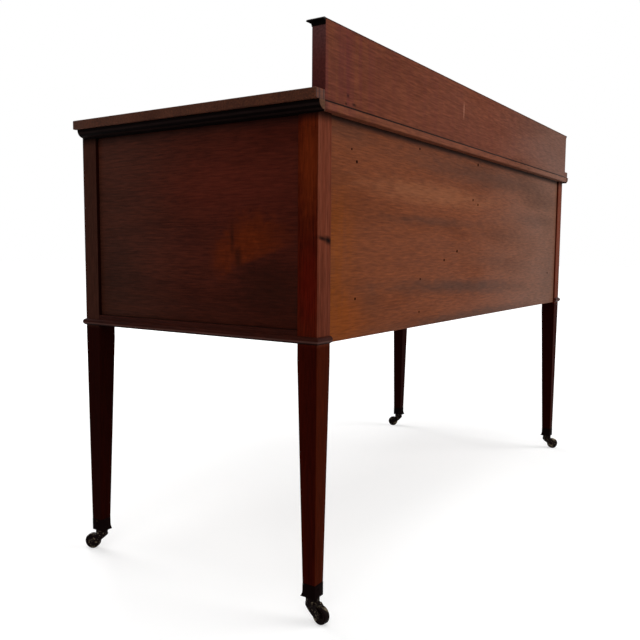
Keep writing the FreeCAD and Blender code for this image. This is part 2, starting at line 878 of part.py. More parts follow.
def make_case():
    """The fixed woodwork and the castor cups, by node name."""
    leather = make_leather()
    gallery = make_gallery_board()
    side_panel = make_side_panel()
    back_panel = make_back_panel()
    side_rail = make_side_rail(side_panel)
    back_rail = make_top_rail(back_rail_y)
    divider = make_pedestal_rail((divider_bottom, divider_top))
    bottom_rail = make_pedestal_rail((case_bottom, bottom_rail_top))
    kneehole_rail = make_kneehole_rail()
    whole_stile = make_stile()
    front_rail = make_top_rail(rail_y)
    for stile_half in both_ends([whole_stile]):
        front_rail = front_rail.cut(stile_half)
    stile = whole_stile.cut(divider).cut(bottom_rail).cut(kneehole_rail)
    soffit = make_soffit()
    partition = make_partition(soffit, back_rail)

    case = {
        "top_board": [make_top_board(leather, gallery)],
        "writing_leather": [leather],
        "gallery_board": [gallery],
        "gallery_moulding": make_gallery_moulding(),
        "side_mouldings": make_side_mouldings(),
        "back_strip": [make_back_strip()],
        "side_panel_right": [side_panel],
        "side_panel_left": [mirrored(side_panel)],
        "side_rails": both_ends([side_rail]),
        "back_panel": [back_panel],
        "front_top_rail": [front_rail],
        "back_top_rail": [back_rail],
        "kneehole_stiles": both_ends([stile]),
        "drawer_dividers": both_ends([divider]),
        "bottom_rails": both_ends([bottom_rail]),
        "kneehole_rail": [kneehole_rail],
        "kneehole_brackets": both_ends([make_bracket()]),
        "partition_right": [partition],
        "partition_left": [mirrored(partition)],
        "pedestal_bottoms": both_ends([make_pedestal_bottom(whole_leg(quadrants["back_right"]))]),
        "kneehole_soffit": [soffit],
        "drawer_runners": make_runners(),
        "drawer_kickers": make_kickers(),
        "base_beads": make_base_beads(),
        "castor_sockets": [make_castor_socket(signs) for signs in quadrants.values()],
    }
    right_members = [side_panel, side_rail, back_panel, front_rail, back_rail, divider, bottom_rail]
    for corner, signs in quadrants.items():
        leg = whole_leg(signs)
        for member in right_members:
            leg = leg.cut(member if signs[0] > 0 else mirrored(member))
        case["leg_" + corner] = [leg]
    return case


def drawer_openings():
    """Each drawer's opening: its limits along X and along Z."""
    right_x = (stile_outer_x, post_inner_x)
    left_x = (-post_inner_x, -stile_outer_x)
    upper_z = (divider_top, top_rail_bottom)
    lower_z = (bottom_rail_top, divider_bottom)
    return {
        "upper_right": (right_x, upper_z),
        "lower_right": (right_x, lower_z),
        "centre": ((-kneehole_x, kneehole_x), (kneehole_rail_top, top_rail_bottom)),
        "upper_left": (left_x, upper_z),
        "lower_left": (left_x, lower_z),
    }


def make_pieces():
    """Every node of the table with its list of solids."""
    pieces = make_case()
    openings = drawer_openings()
    pieces["drawer_stops"] = make_stops(openings)
    for name, opening in openings.items():
        middle_x = sum(opening[0]) / 2
        handles_x = [-centre_handle_offset, centre_handle_offset] if name == "centre" else [middle_x]
        drawer = make_drawer(opening, handles_x)
        pieces["drawer_front_" + name] = drawer["front"]
        pieces["drawer_box_" + name] = drawer["box"]
        pieces["drawer_brass_" + name] = drawer["brass"]
        bail_names = ["centre_left", "centre_right"] if name == "centre" else [name]
        for bail_name, bail in zip(bail_names, drawer["bails"]):
            pieces["bail_" + bail_name] = [bail]
    horn = make_horn()
    wheel = make_wheel()
    for corner in quadrants:
        pieces["castor_horn_" + corner] = [under_leg(solid, corner) for solid in horn]
        pieces["castor_wheel_" + corner] = [under_leg(wheel, corner)]
    return pieces


def to_origin(pieces):
    """The move that brings the middle of the table's underside to the origin."""
    whole = Part.makeCompound([solid for solids in pieces.values() for solid in solids])
    box = whole.optimalBoundingBox(False)
    return Vec(-(box.XMin + box.XMax) / 2, -(box.YMin + box.YMax) / 2, -box.ZMin)


pieces = make_pieces()
move = to_origin(pieces)
os.makedirs("parts", exist_ok=True)
for name, solids in pieces.items():
    shape = solids[0] if len(solids) == 1 else Part.makeCompound(solids)
    shape.translated(move).exportStep("parts/" + name + ".step")
print(len(pieces), "nodes, moved by", move)
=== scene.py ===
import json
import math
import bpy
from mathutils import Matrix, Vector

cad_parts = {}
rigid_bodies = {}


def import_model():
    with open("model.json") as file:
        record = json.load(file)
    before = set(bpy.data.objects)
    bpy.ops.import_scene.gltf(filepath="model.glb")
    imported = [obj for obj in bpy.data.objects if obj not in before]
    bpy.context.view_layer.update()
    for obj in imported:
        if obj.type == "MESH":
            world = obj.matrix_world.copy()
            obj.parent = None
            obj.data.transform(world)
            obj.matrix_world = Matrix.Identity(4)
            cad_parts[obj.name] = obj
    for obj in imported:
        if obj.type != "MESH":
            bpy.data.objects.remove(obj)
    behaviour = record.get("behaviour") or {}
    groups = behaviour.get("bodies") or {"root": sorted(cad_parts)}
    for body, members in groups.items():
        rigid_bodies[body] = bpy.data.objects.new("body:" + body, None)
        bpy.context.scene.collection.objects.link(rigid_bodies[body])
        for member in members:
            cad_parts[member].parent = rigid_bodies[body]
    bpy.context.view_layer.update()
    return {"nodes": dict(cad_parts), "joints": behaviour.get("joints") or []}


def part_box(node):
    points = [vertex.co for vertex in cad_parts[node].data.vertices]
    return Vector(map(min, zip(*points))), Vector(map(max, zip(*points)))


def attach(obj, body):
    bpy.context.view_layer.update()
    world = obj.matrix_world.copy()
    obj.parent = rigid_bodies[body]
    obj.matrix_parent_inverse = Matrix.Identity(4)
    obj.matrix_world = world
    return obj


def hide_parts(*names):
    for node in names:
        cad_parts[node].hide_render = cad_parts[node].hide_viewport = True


bl_info = {
    "name": "Writing table",
    "version": (1, 0, 0),
    "blender": (4, 5, 0),
    "location": "View3D > Sidebar > Table",
    "description": "Dresses the mahogany writing table: timbers, leather, brassware and the stage",
    "category": "Object",
}

import bpy
from mathutils import Matrix, Vector

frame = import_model()

MM = 0.001
SAME_PLACE = 0.001 * MM
CORNERS = ("front_right", "back_right", "front_left", "back_left")
DRAWERS = ("upper_right", "lower_right", "centre", "upper_left", "lower_left")
BAILS = ("upper_right", "lower_right", "upper_left", "lower_left", "centre_left", "centre_right")
DRAWER_FRONTS = tuple("drawer_front_" + drawer for drawer in DRAWERS)
DRAWER_BOXES = tuple("drawer_box_" + drawer for drawer in DRAWERS)
# Solids that touch make up these nodes, and easing would tear the edges they share
PLAIN_EDGES = ("base_beads", "gallery_moulding", *DRAWER_FRONTS, *DRAWER_BOXES)


def paint(red, green, blue):
    """A colour as a painter's chart gives it, 0 to 255, turned into light."""
    light = []
    for value in (red, green, blue):
        share = value / 255
        light.append(share / 12.92 if share <= 0.04045 else ((share + 0.055) / 1.055) ** 2.4)
    return (*light, 1.0)


def tint(name, description, colour):
    """A colour that a user may change."""
    return bpy.props.FloatVectorProperty(
        name=name, description=description, subtype="COLOR", size=4, min=0.0, max=1.0, default=colour
    )


def length(name, description, millimetres):
    """A size that a user may change."""
    return bpy.props.FloatProperty(
        name=name, description=description, subtype="DISTANCE", unit="LENGTH", default=millimetres * MM
    )


class TableFinish(bpy.types.PropertyGroup):
    """Colours of the timbers, hide and metal"""

    post_light: tint("Post light", "Light bands of the posts and rails", paint(84, 25, 10))
    post_dark: tint("Post dark", "Dark bands of the posts and rails", paint(54, 14, 6))
    leg_light: tint("Leg light", "Light bands of the legs under the case", paint(56, 11, 3))
    leg_dark: tint("Leg dark", "Dark bands of the legs under the case", paint(30, 3, 2))
    end_light: tint("End light", "Light bands of the end panels", paint(72, 30, 19))
    end_dark: tint("End dark", "Dark bands of the end panels", paint(50, 19, 12))
    end_rail_light: tint("End rail light", "Light bands of the end rails and beads", paint(54, 20, 12))
    end_rail_dark: tint("End rail dark", "Dark bands of the end rails and beads", paint(34, 11, 7))
    flame: tint("Flame", "Orange heart of the figured end panels", paint(89, 32, 9))
    back_light: tint("Back light", "Light bands of the back boards", paint(112, 58, 30))
    back_dark: tint("Back dark", "Dark bands of the back boards", paint(96, 49, 26))
    gallery_light: tint("Gallery light", "Light bands of the gallery and strip", paint(108, 58, 38))
    gallery_dark: tint("Gallery dark", "Dark bands of the gallery and strip", paint(90, 45, 29))
    slab_light: tint("Top light", "Light bands of the top board", paint(84, 46, 30))
    slab_dark: tint("Top dark", "Dark bands of the top board", paint(52, 27, 18))
    # The mouldings' near-black tones are dark polish deepened with painted shade, for the shade under the top
    moulding_light: tint("Moulding light", "Worn parts of the dark mouldings", paint(10, 5, 5))
    moulding_dark: tint("Moulding dark", "The dark mouldings", paint(5, 2, 2))
    lining_light: tint("Lining light", "Light bands of the drawer linings", paint(164, 122, 80))
    lining_dark: tint("Lining dark", "Dark bands of the drawer linings", paint(120, 84, 52))
    stain: tint("Stain", "Dark stains on the back", paint(58, 38, 29))
    # This dark colour is both real dirt and painted shade: under the mouldings and along the gallery's cap
    dirt_and_shade: tint("Dirt", "Dirt in corners and joints", paint(18, 9, 7))
    bare_wood: tint("Bare wood", "Unpolished end grain", paint(86, 58, 44))
    hide: tint("Hide", "The leather's own colour", paint(44, 56, 36))
    hide_worn: tint("Worn hide", "The leather where sleeves have rubbed it", paint(60, 72, 46))
    gilding: tint("Gilding", "The tooled lines of the leather", paint(196, 152, 80))
    brass_clean: tint("Brass", "Brass where it is rubbed clean", paint(146, 116, 68))
    wheel_clean: tint("Wheel brass", "Brass of the wheels where the floor rubs it", paint(94, 84, 68))
    brass_dark: tint("Dark brass", "Brass where it has blackened", paint(24, 18, 14))
    cup_dark: tint("Cup", "Blackened cups and forks of the castors", paint(14, 6, 6))
    iron: tint("Iron", "Nail heads", paint(9, 6, 5))


class TableDetails(bpy.types.PropertyGroup):
    """Sizes of the fittings and of what age has done"""

    edge_ease: length("Eased edge", "Rounding of the timbers' edges", 0.7)
    nail_radius: length("Nail radius", "Radius of the largest nail head in the back", 2.8)
    cup_lip: length("Cup lip", "How far the lip of a castor's cup curves out", 4.1)
    screw_radius: length("Screw radius", "Radius of a screw head in a castor's cup", 2.1)
    rod_radius: length("Rod radius", "Radius of a bail's rod", 2.6)
    knop_radius: length("Knop radius", "Radius of the knop in the middle of a bail", 4.0)
    tooling_inset: length("Tooling inset", "From the leather's edge to its tooled lines", 14.0)


# Shader graphs

# Numbers of a mix node's colour sockets
MIX_FIRST = 6
MIX_SECOND = 7
MIX_RESULT = 2
# How far the finest relief of a surface rises
RELIEF = 0.2 * MM


class Graph:
    """Adds nodes to a tree; an input is given a value or the socket that feeds it."""

    def __init__(self, tree):
        self.tree = tree

    def feed(self, node, feeds):
        for key, value in feeds.items():
            if isinstance(value, bpy.types.NodeSocket):
                self.tree.links.new(value, node.inputs[key])
            else:
                node.inputs[key].default_value = value

    def add(self, kind, feeds=None, **settings):
        node = self.tree.nodes.new(kind)
        for name, value in settings.items():
            setattr(node, name, value)
        self.feed(node, feeds or {})
        return node

    def math(self, operation, first, second=0.0):
        return self.add("ShaderNodeMath", {0: first, 1: second}, operation=operation).outputs[0]

    def plus(self, first, second):
        return self.math("ADD", first, second)

    def minus(self, first, second):
        return self.math("SUBTRACT", first, second)

    def times(self, first, second):
        return self.math("MULTIPLY", first, second)

    def size_of(self, value):
        return self.math("ABSOLUTE", value)

    def apart(self, first, second):
        """How far two values are from each other."""
        return self.size_of(self.minus(first, second))

    def vector(self, operation, first, second=(0.0, 0.0, 0.0)):
        node = self.add("ShaderNodeVectorMath", {0: first, 1: second}, operation=operation)
        return node.outputs["Value" if operation == "LENGTH" else "Vector"]

    def split(self, vector):
        parts = self.add("ShaderNodeSeparateXYZ", {"Vector": vector}).outputs
        return parts["X"], parts["Y"], parts["Z"]

    def join(self, x, y, z):
        return self.add("ShaderNodeCombineXYZ", {"X": x, "Y": y, "Z": z}).outputs["Vector"]

    def noise(self, place, repeats, detail=3.0, distortion=0.0):
        """Noise that repeats about so many times in a metre along X, Y and Z."""
        stretched = self.vector("MULTIPLY", place, repeats)
        feeds = {"Vector": stretched, "Scale": 1.0, "Detail": detail, "Distortion": distortion}
        return self.add("ShaderNodeTexNoise", feeds).outputs["Fac"]

    def remap(self, value, low, high, new_low=0.0, new_high=1.0):
        """A soft step from new_low at low to new_high at high."""
        feeds = {"Value": value, "From Min": low, "From Max": high, "To Min": new_low, "To Max": new_high}
        return self.add("ShaderNodeMapRange", feeds, interpolation_type="SMOOTHSTEP").outputs[0]

    def blend(self, share, first, second, kind="MIX"):
        feeds = {"Factor": share, MIX_FIRST: first, MIX_SECOND: second}
        return self.add("ShaderNodeMix", feeds, data_type="RGBA", blend_type=kind).outputs[MIX_RESULT]

    def bump(self, height, strength):
        feeds = {"Strength": strength, "Distance": RELIEF, "Height": height}
        return self.add("ShaderNodeBump", feeds).outputs["Normal"]


def shader_group(name, inputs, outputs):
    """A group with its named sockets: its graph, what it is given and the node for what it makes."""
    tree = bpy.data.node_groups.new(name, "ShaderNodeTree")
    for side, sockets in (("INPUT", inputs), ("OUTPUT", outputs)):
        for label, kind in sockets.items():
            tree.interface.new_socket(label, in_out=side, socket_type="NodeSocket" + kind)
    graph = Graph(tree)
    return graph, graph.add("NodeGroupInput").outputs, graph.add("NodeGroupOutput")


# How often each part of the grain repeats in a metre, along the grain and across it
GRAIN_BANDS = (4.0, 120.0, 120.0)
GRAIN_RIBBON = (0.9, 11.0, 11.0)
GRAIN_LINES = (34.0, 420.0, 420.0)
GRAIN_DASHES = (36.0, 380.0, 380.0)
GRAIN_PORES = (60.0, 1500.0, 1500.0)
POLISH_PATCHES = (2.2, 10.0, 10.0)
# What each part adds to the tone
BAND_SHARE = 0.16
RIBBON_SHARE = 0.3
LINE_SHARE = 0.54
# How strongly the short dashes of the grain show through polish and marks
FIGURE_CONTRAST = 1.1
# What is left of the colour in a pore and under an old patch of polish
PORE_SHADE = (0.25, 0.2, 0.18, 1.0)
POLISH_SHADE = (0.5, 0.44, 0.42, 1.0)


def make_grain_group():
    """Bands, ribbon figure, pores and old patches of polish, with the grain along X."""
    graph, given, made = shader_group(
        "mahogany_grain",
        {"Vector": "Vector", "Light": "Color", "Dark": "Color", "Pores": "Float", "Age": "Float"},
        {"Color": "Color", "Figure": "Float", "Roughness": "Float", "Height": "Float"},
    )
    place = given["Vector"]
    bands = graph.noise(place, GRAIN_BANDS, 5.0, 0.3)
    ribbon = graph.noise(place, GRAIN_RIBBON, 2.0, 1.1)
    lines = graph.noise(place, GRAIN_LINES, 4.0)
    dashes = graph.noise(place, GRAIN_DASHES)
    pores = graph.noise(place, GRAIN_PORES, 2.0)
    patches = graph.noise(place, POLISH_PATCHES, 4.0, 0.6)
    tone = graph.plus(graph.times(bands, BAND_SHARE), graph.times(ribbon, RIBBON_SHARE))
    tone = graph.plus(tone, graph.times(lines, LINE_SHARE))
    colour = graph.blend(graph.remap(tone, 0.32, 0.68), given["Dark"], given["Light"])
    pits = graph.remap(pores, 0.6, 0.7)
    colour = graph.blend(graph.times(pits, given["Pores"]), colour, PORE_SHADE, "MULTIPLY")
    aged = graph.times(graph.remap(patches, 0.48, 0.68), given["Age"])
    colour = graph.blend(aged, colour, POLISH_SHADE, "MULTIPLY")
    figure = graph.times(graph.minus(dashes, 0.5), FIGURE_CONTRAST)
    dullness = graph.plus(patches, graph.times(pits, 0.2))
    graph.feed(made, {
        "Color": colour,
        "Figure": graph.plus(figure, 1.0),
        "Roughness": graph.remap(dullness, 0.3, 0.8, 0.4, 0.62),
        "Height": graph.minus(graph.times(lines, 0.5), pits),
    })


def make_mark_group():
    """A soft ragged mark at one place on an upright surface, rising along it by its slope."""
    graph, given, made = shader_group(
        "soft_mark",
        {"Vector": "Vector", "Centre": "Vector", "Size": "Vector", "Slope": "Float", "Ragged": "Float"},
        {"Mask": "Float"},
    )
    x, y, z = graph.split(graph.vector("SUBTRACT", given["Vector"], given["Centre"]))
    level = graph.minus(z, graph.times(graph.plus(x, y), given["Slope"]))
    reach = graph.vector("LENGTH", graph.vector("DIVIDE", graph.join(x, y, level), given["Size"]))
    wander = graph.noise(given["Vector"], (22.0, 70.0, 95.0), 6.0, 0.6)
    wander = graph.times(graph.minus(wander, 0.5), given["Ragged"])
    graph.feed(made, {"Mask": graph.remap(graph.plus(reach, wander), 1.0, 0.1)})


# Upright faces that carry marks: the axis each looks along, its place there and how deep marks reach
BACK_FACE = ("Y", 0.2418, 0.05)
POST_BACK_FACE = ("Y", 0.2458, 0.02)
GALLERY_FACE = ("Y", 0.2533, 0.02)
END_FACE = ("X", 0.589, 0.08)
POST_END_FACE = ("X", 0.595, 0.01)
# Height of the underside of the mouldings
CASE_TOP = 0.731


def on_face(axis, across, along, up):
    """X, Y and Z of a place or a size on an upright face."""
    return (along, across, up) if axis == "Y" else (across, along, up)


class Timber(Graph):
    """The graph of one timber, which can lay marks over its colour."""

    def __init__(self, tree, place, finish):
        super().__init__(tree)
        self.place = place
        self.finish = finish
        self.x, self.y, self.z = self.split(place)

    def lay(self, colour, over, face, spot, reach, ragged, strength, slope=0.0, within=1.0):
        """A soft mark of another colour: its spot on a face, and how far it reaches along and up."""
        axis, level, depth = face
        feeds = {
            "Vector": self.place,
            "Centre": on_face(axis, level, *spot),
            "Size": on_face(axis, depth, *reach),
            "Slope": slope,
            "Ragged": ragged,
        }
        mark = self.add("ShaderNodeGroup", feeds, node_tree=bpy.data.node_groups["soft_mark"])
        share = self.times(mark.outputs["Mask"], strength)
        return self.blend(self.times(share, within), colour, over)

    def dirt_and_shade_under_top(self, colour, start, strength):
        """Dirt and painted shade that thicken from a height up to the mouldings under the top."""
        return self.blend(self.remap(self.z, start, CASE_TOP, 0.0, strength), colour, self.finish.dirt_and_shade)


def new_material(name):
    """A material with a Principled shader, the graph that feeds it and the place on the piece."""
    material = bpy.data.materials.new(name)
    material.use_nodes = True
    graph = Graph(material.node_tree)
    shader = material.node_tree.nodes["Principled BSDF"]
    place = graph.add("ShaderNodeTexCoord").outputs["Object"]
    return material, graph, shader, place


# Numbers of the coordinates for each run of the grain, the one along it first
GRAIN_ORDER = {"X": (0, 1, 2), "Y": (1, 0, 2), "Z": (2, 1, 0)}


def make_wood(finish, name, tones, grain, pores, age, gloss, marks):
    """One timber: its two tones, its grain's direction and the marks of its age."""
    material, graph, shader, place = new_material(name)
    wood = Timber(graph.tree, place, finish)
    spread = (wood.x, wood.y, wood.z)
    feeds = {
        "Vector": wood.join(*(spread[number] for number in GRAIN_ORDER[grain])),
        "Light": getattr(finish, tones + "_light"),
        "Dark": getattr(finish, tones + "_dark"),
        "Pores": pores,
        "Age": age,
    }
    grown = wood.add("ShaderNodeGroup", feeds, node_tree=bpy.data.node_groups["mahogany_grain"]).outputs
    colour = marks(wood, grown["Color"]) if marks else grown["Color"]
    wood.feed(shader, {
        "Base Color": wood.blend(1.0, colour, grown["Figure"], "MULTIPLY"),
        "Roughness": grown["Roughness"],
        "Normal": wood.bump(grown["Height"], 0.25),
        "Specular IOR Level": gloss,
    })
    return material


# Colours that light, wear and dirt have left on the timbers, and painted sheen, highlights and shade
BACK_ORANGE = paint(114, 56, 10)
BACK_ORANGE_LOW = paint(118, 56, 10)
BACK_FADED = paint(146, 92, 60)
BACK_SHEEN_GREY = paint(105, 82, 70)
END_RED = paint(56, 3, 1)
END_GREY = paint(74, 52, 42)
END_FOOT = paint(20, 7, 1)
END_GLOW = paint(92, 34, 22)
END_SHADE = paint(24, 13, 8)
END_CURL = paint(34, 11, 5)
FLAME_SHADE = paint(78, 26, 6)
LEG_SHADE = paint(16, 2, 1)
LEG_SHEEN = paint(60, 18, 4)
POST_SHEEN_GREY = paint(54, 33, 26)
POST_SHADE = paint(14, 2, 2)
POST_GLOW = paint(98, 36, 12)
POST_RED = paint(80, 9, 4)
POST_SHEEN_DARK = paint(98, 48, 32)
POST_SHEEN_LIGHT = paint(116, 62, 44)
POST_SHEEN_LOW = paint(82, 40, 28)
GALLERY_RUN = paint(86, 38, 35)
GALLERY_SCRATCH = paint(166, 112, 92)
GALLERY_SHEEN_GREY = paint(100, 78, 68)
GALLERY_END = paint(66, 29, 28)
GALLERY_BLOOM = paint(86, 62, 64)
STRIP_HIGHLIGHT = paint(150, 98, 72)
END_GRAIN_DARK = paint(54, 23, 13)
END_GRAIN_LIGHT = paint(90, 46, 27)
OVOLO_HIGHLIGHT = paint(24, 15, 14)
CAP_HIGHLIGHT = paint(74, 72, 72)
BEAD_HIGHLIGHT = paint(84, 56, 50)
BEAD_SHADE = paint(10, 2, 2)

# Water stains on the back: X and Z, half length and half height, strength, slope
BACK_STREAKS = (
    ((0.20, 0.597), (0.30, 0.012), 0.45, 0.0),
    ((-0.06, 0.699), (0.52, 0.032), 0.5, 0.0),
    ((0.05, 0.474), (0.52, 0.023), 0.65, 0.032),
    ((-0.40, 0.622), (0.28, 0.024), 0.34, 0.0),
    ((-0.46, 0.672), (0.24, 0.034), 0.35, 0.0),
    ((0.51, 0.714), (0.11, 0.024), 0.35, 0.0),
    ((0.44, 0.458), (0.05, 0.046), 0.25, 0.0),
    ((-0.14, 0.580), (0.40, 0.008), 0.16, 0.0),
    ((-0.14, 0.520), (0.36, 0.030), 0.25, 0.08),
    ((-0.52, 0.490), (0.13, 0.10), 0.25, 0.0),
    ((0.00, 0.412), (0.66, 0.022), 0.6, 0.0),
)
STREAK_RAGGED = 0.9


def back_marks(wood, colour):
    """Orange near one end and painted sheen greying the other, long water stains, and dirt with painted shade
    along the top.
    """
    warm = wood.times(wood.remap(wood.x, 0.45, 0.56), wood.remap(wood.z, 0.68, 0.56))
    strokes = wood.noise(wood.place, (75.0, 1.0, 11.0), 4.0)
    warm = wood.times(warm, wood.remap(strokes, 0.3, 0.65, 0.35, 0.85))
    colour = wood.blend(warm, colour, BACK_ORANGE)
    colour = wood.lay(colour, BACK_ORANGE_LOW, BACK_FACE, (0.50, 0.440), (0.12, 0.05), 0.8, 0.5)
    colour = wood.lay(colour, BACK_FADED, BACK_FACE, (0.20, 0.645), (0.38, 0.030), 0.9, 0.35)
    # Painted sheen greys the far end of the back
    colour = wood.blend(wood.remap(wood.x, 0.1, -0.5, 0.0, 0.5), colour, BACK_SHEEN_GREY)
    for spot, reach, strength, slope in BACK_STREAKS:
        colour = wood.lay(colour, wood.finish.stain, BACK_FACE, spot, reach, STREAK_RAGGED, strength, slope)
    # Dirt and painted shadow under the strip along the top
    return wood.dirt_and_shade_under_top(colour, 0.72, 0.9)


def end_marks(wood, colour):
    """A fan of orange figure beside a dark curl, low on each end panel."""
    wood.place = wood.join(wood.size_of(wood.x), wood.y, wood.z)
    rise = wood.minus(wood.z, wood.times(wood.y, 0.32))
    above = wood.remap(rise, 0.483, 0.492)
    below = wood.minus(1.0, above)
    flecks = wood.noise(wood.place, (1.0, 75.0, 55.0), 5.0, 0.6)
    flame = wood.blend(wood.remap(flecks, 0.3, 0.7), FLAME_SHADE, wood.finish.flame)
    colour = wood.blend(wood.remap(wood.y, -0.12, 0.21, 0.0, 0.3), colour, END_RED)
    colour = wood.blend(wood.remap(wood.y, 0.02, -0.2, 0.0, 0.22), colour, END_GREY)
    colour = wood.blend(wood.remap(wood.z, 0.54, 0.42, 0.0, 0.34), colour, END_FOOT)
    colour = wood.lay(colour, END_GLOW, END_FACE, (0.080, 0.640), (0.22, 0.080), 0.8, 0.32)
    colour = wood.lay(colour, END_SHADE, END_FACE, (-0.175, 0.520), (0.10, 0.080), 0.8, 0.42)
    colour = wood.blend(wood.remap(wood.z, 0.4305, 0.4292, 0.0, 0.75), colour, wood.finish.dirt_and_shade)
    # Colour, Y and Z, half length and half height, raggedness, strength, any slope and side of the curl
    figure = (
        (END_CURL, (0.160, 0.490), (0.110, 0.070), 0.7, 0.75, 0.0, below),
        (flame, (0.150, 0.552), (0.070, 0.046), 0.7, 0.5, 0.2, above),
        (flame, (0.119, 0.553), (0.070, 0.062), 0.7, 1.0, 0.12, above),
        (flame, (0.068, 0.532), (0.034, 0.046), 0.8, 0.75),
        (END_CURL, (0.0868, 0.560), (0.0064, 0.036), 1.0, 0.6),
        (END_CURL, (0.0985, 0.530), (0.0115, 0.024), 1.0, 0.65),
    )
    for over, *mark in figure:
        colour = wood.lay(colour, over, END_FACE, *mark)
    # Dirt and painted shadow under the mouldings
    return wood.dirt_and_shade_under_top(colour, 0.712, 0.6)


# The gouge in one post: X and Z, half length and half height, strength, slope
POST_GOUGE = (
    ((0.5685, 0.5568), (0.017, 0.0090), 1.0, 0.17),
    ((0.5840, 0.5592), (0.016, 0.0048), 0.9, 0.17),
    ((0.5885, 0.5660), (0.0024, 0.010), 0.35, 0.0),
)
GOUGE_RAGGED = 0.4
# Where the legs start to taper, and how far their backs lean in over each metre
TAPER_TOP = 0.385
BACK_LEAN = 0.0064


def post_marks(wood, colour):
    """Back faces lightened by painted sheen, dark legs under the case with painted shade on the far ones,
    painted sheen on the front posts' end faces and painted shade on their inner faces, dirt and painted shade
    under the mouldings and a gouge across one post.
    """
    streaks = wood.noise(wood.place, (60.0, 60.0, 4.0))
    leg = wood.blend(streaks, wood.finish.leg_dark, wood.finish.leg_light)
    taper = wood.math("MAXIMUM", wood.minus(TAPER_TOP, wood.z), 0.0)
    face = wood.plus(wood.y, wood.times(taper, BACK_LEAN))
    # Painted sheen: the back faces of the posts and legs are drawn lighter
    sheen_back = wood.remap(face, 0.2450, 0.2456)
    near = wood.times(wood.remap(wood.x, -0.1, 0.1), wood.remap(wood.y, -0.05, 0.05))
    leg = wood.blend(wood.remap(near, 1.0, 0.0, 0.0, 0.7), leg, LEG_SHADE)
    # Painted sheen on the legs' back faces, strongest on the near ones
    pale_leg = wood.times(sheen_back, wood.remap(wood.x, -0.3, 0.3, 0.2, 0.7))
    leg = wood.blend(pale_leg, leg, LEG_SHEEN)
    front = wood.remap(wood.y, 0.0, -0.1, 0.0, 0.85)
    end_face = wood.remap(wood.size_of(wood.x), 0.5940, 0.5945)
    # Painted sheen: a cool grey on the end faces of the front posts
    colour = wood.blend(wood.times(front, end_face), colour, POST_SHEEN_GREY)
    inner_face = wood.remap(wood.y, -0.2112, -0.2106)
    colour = wood.blend(wood.times(front, inner_face), colour, POST_SHADE)
    colour = wood.lay(colour, POST_GLOW, POST_END_FACE, (0.231, 0.665), (0.03, 0.11), 0.6, 0.7)
    colour = wood.lay(colour, POST_RED, POST_END_FACE, (0.231, 0.490), (0.03, 0.09), 0.6, 0.5)
    strands = wood.remap(wood.noise(wood.place, (190.0, 190.0, 5.0), 4.0), 0.3, 0.7)
    pale = wood.blend(strands, POST_SHEEN_DARK, POST_SHEEN_LIGHT)
    pale = wood.blend(wood.remap(wood.z, 0.58, 0.44, 0.0, 0.6), pale, POST_SHEEN_LOW)
    colour = wood.blend(wood.times(sheen_back, 0.78), colour, pale)
    colour = wood.blend(wood.remap(wood.z, 0.414, 0.404), colour, leg)
    # Dirt and painted shadow under the mouldings
    colour = wood.dirt_and_shade_under_top(colour, 0.716, 0.85)
    dirt_and_shade = wood.finish.dirt_and_shade
    for spot, reach, strength, slope in POST_GOUGE:
        colour = wood.lay(colour, dirt_and_shade, POST_BACK_FACE, spot, reach, GOUGE_RAGGED, strength, slope)
    return colour


# Small dents low on the gallery: X, Z and half length
GALLERY_DENTS = ((0.531, 0.762, 0.006), (0.536, 0.750, 0.005), (0.514, 0.752, 0.008))
DENT_HALF_HEIGHT = 0.0035
# Height of the joint between the gallery and the strip
GALLERY_JOINT = 0.7453


def gallery_marks(wood, colour):
    """Runs in the polish, a dark joint over the strip with a painted highlight below it, a scratch, painted
    sheen greying the far end, and painted shade under the cap.
    """
    runs = wood.remap(wood.noise(wood.place, (70.0, 1.0, 5.0), 4.0), 0.35, 0.7)
    runs = wood.times(runs, wood.remap(wood.x, 0.42, 0.56, 0.2, 0.8))
    colour = wood.blend(runs, colour, GALLERY_RUN)
    colour = wood.lay(colour, GALLERY_SCRATCH, GALLERY_FACE, (0.111, 0.808), (0.003, 0.02), 0.6, 0.8)
    # Painted sheen greys the far end
    colour = wood.blend(wood.remap(wood.x, 0.0, -0.55, 0.0, 0.6), colour, GALLERY_SHEEN_GREY)
    ends = wood.remap(wood.size_of(wood.x), 0.5894, 0.5899, 0.0, 0.8)
    bloom = wood.remap(wood.z, 0.79, 0.85, 0.0, 0.5)
    colour = wood.blend(ends, colour, wood.blend(bloom, GALLERY_END, GALLERY_BLOOM))
    for x, z, half_length in GALLERY_DENTS:
        reach = (half_length, DENT_HALF_HEIGHT)
        colour = wood.lay(colour, wood.finish.dirt_and_shade, GALLERY_FACE, (x, z), reach, 0.8, 0.75)
    # Painted highlight on the strip below the joint
    colour = wood.blend(wood.remap(wood.z, 0.7452, 0.7440, 0.0, 0.12), colour, STRIP_HIGHLIGHT)
    # Painted shade along the top edge, under the cap
    colour = wood.blend(wood.remap(wood.z, 0.8522, 0.8540, 0.0, 0.7), colour, wood.finish.dirt_and_shade)
    gap = wood.apart(wood.z, GALLERY_JOINT)
    return wood.blend(wood.remap(gap, 0.0022, 0.0013), colour, wood.finish.dirt_and_shade)


def slab_marks(wood, colour):
    """Bare end grain where the top shows beside the gallery, at the back."""
    stripes = wood.remap(wood.noise(wood.place, (260.0, 1.0, 12.0), 2.0), 0.4, 0.6)
    bare = wood.blend(stripes, END_GRAIN_DARK, END_GRAIN_LIGHT)
    return wood.blend(wood.remap(wood.y, 0.2524, 0.2531), colour, bare)


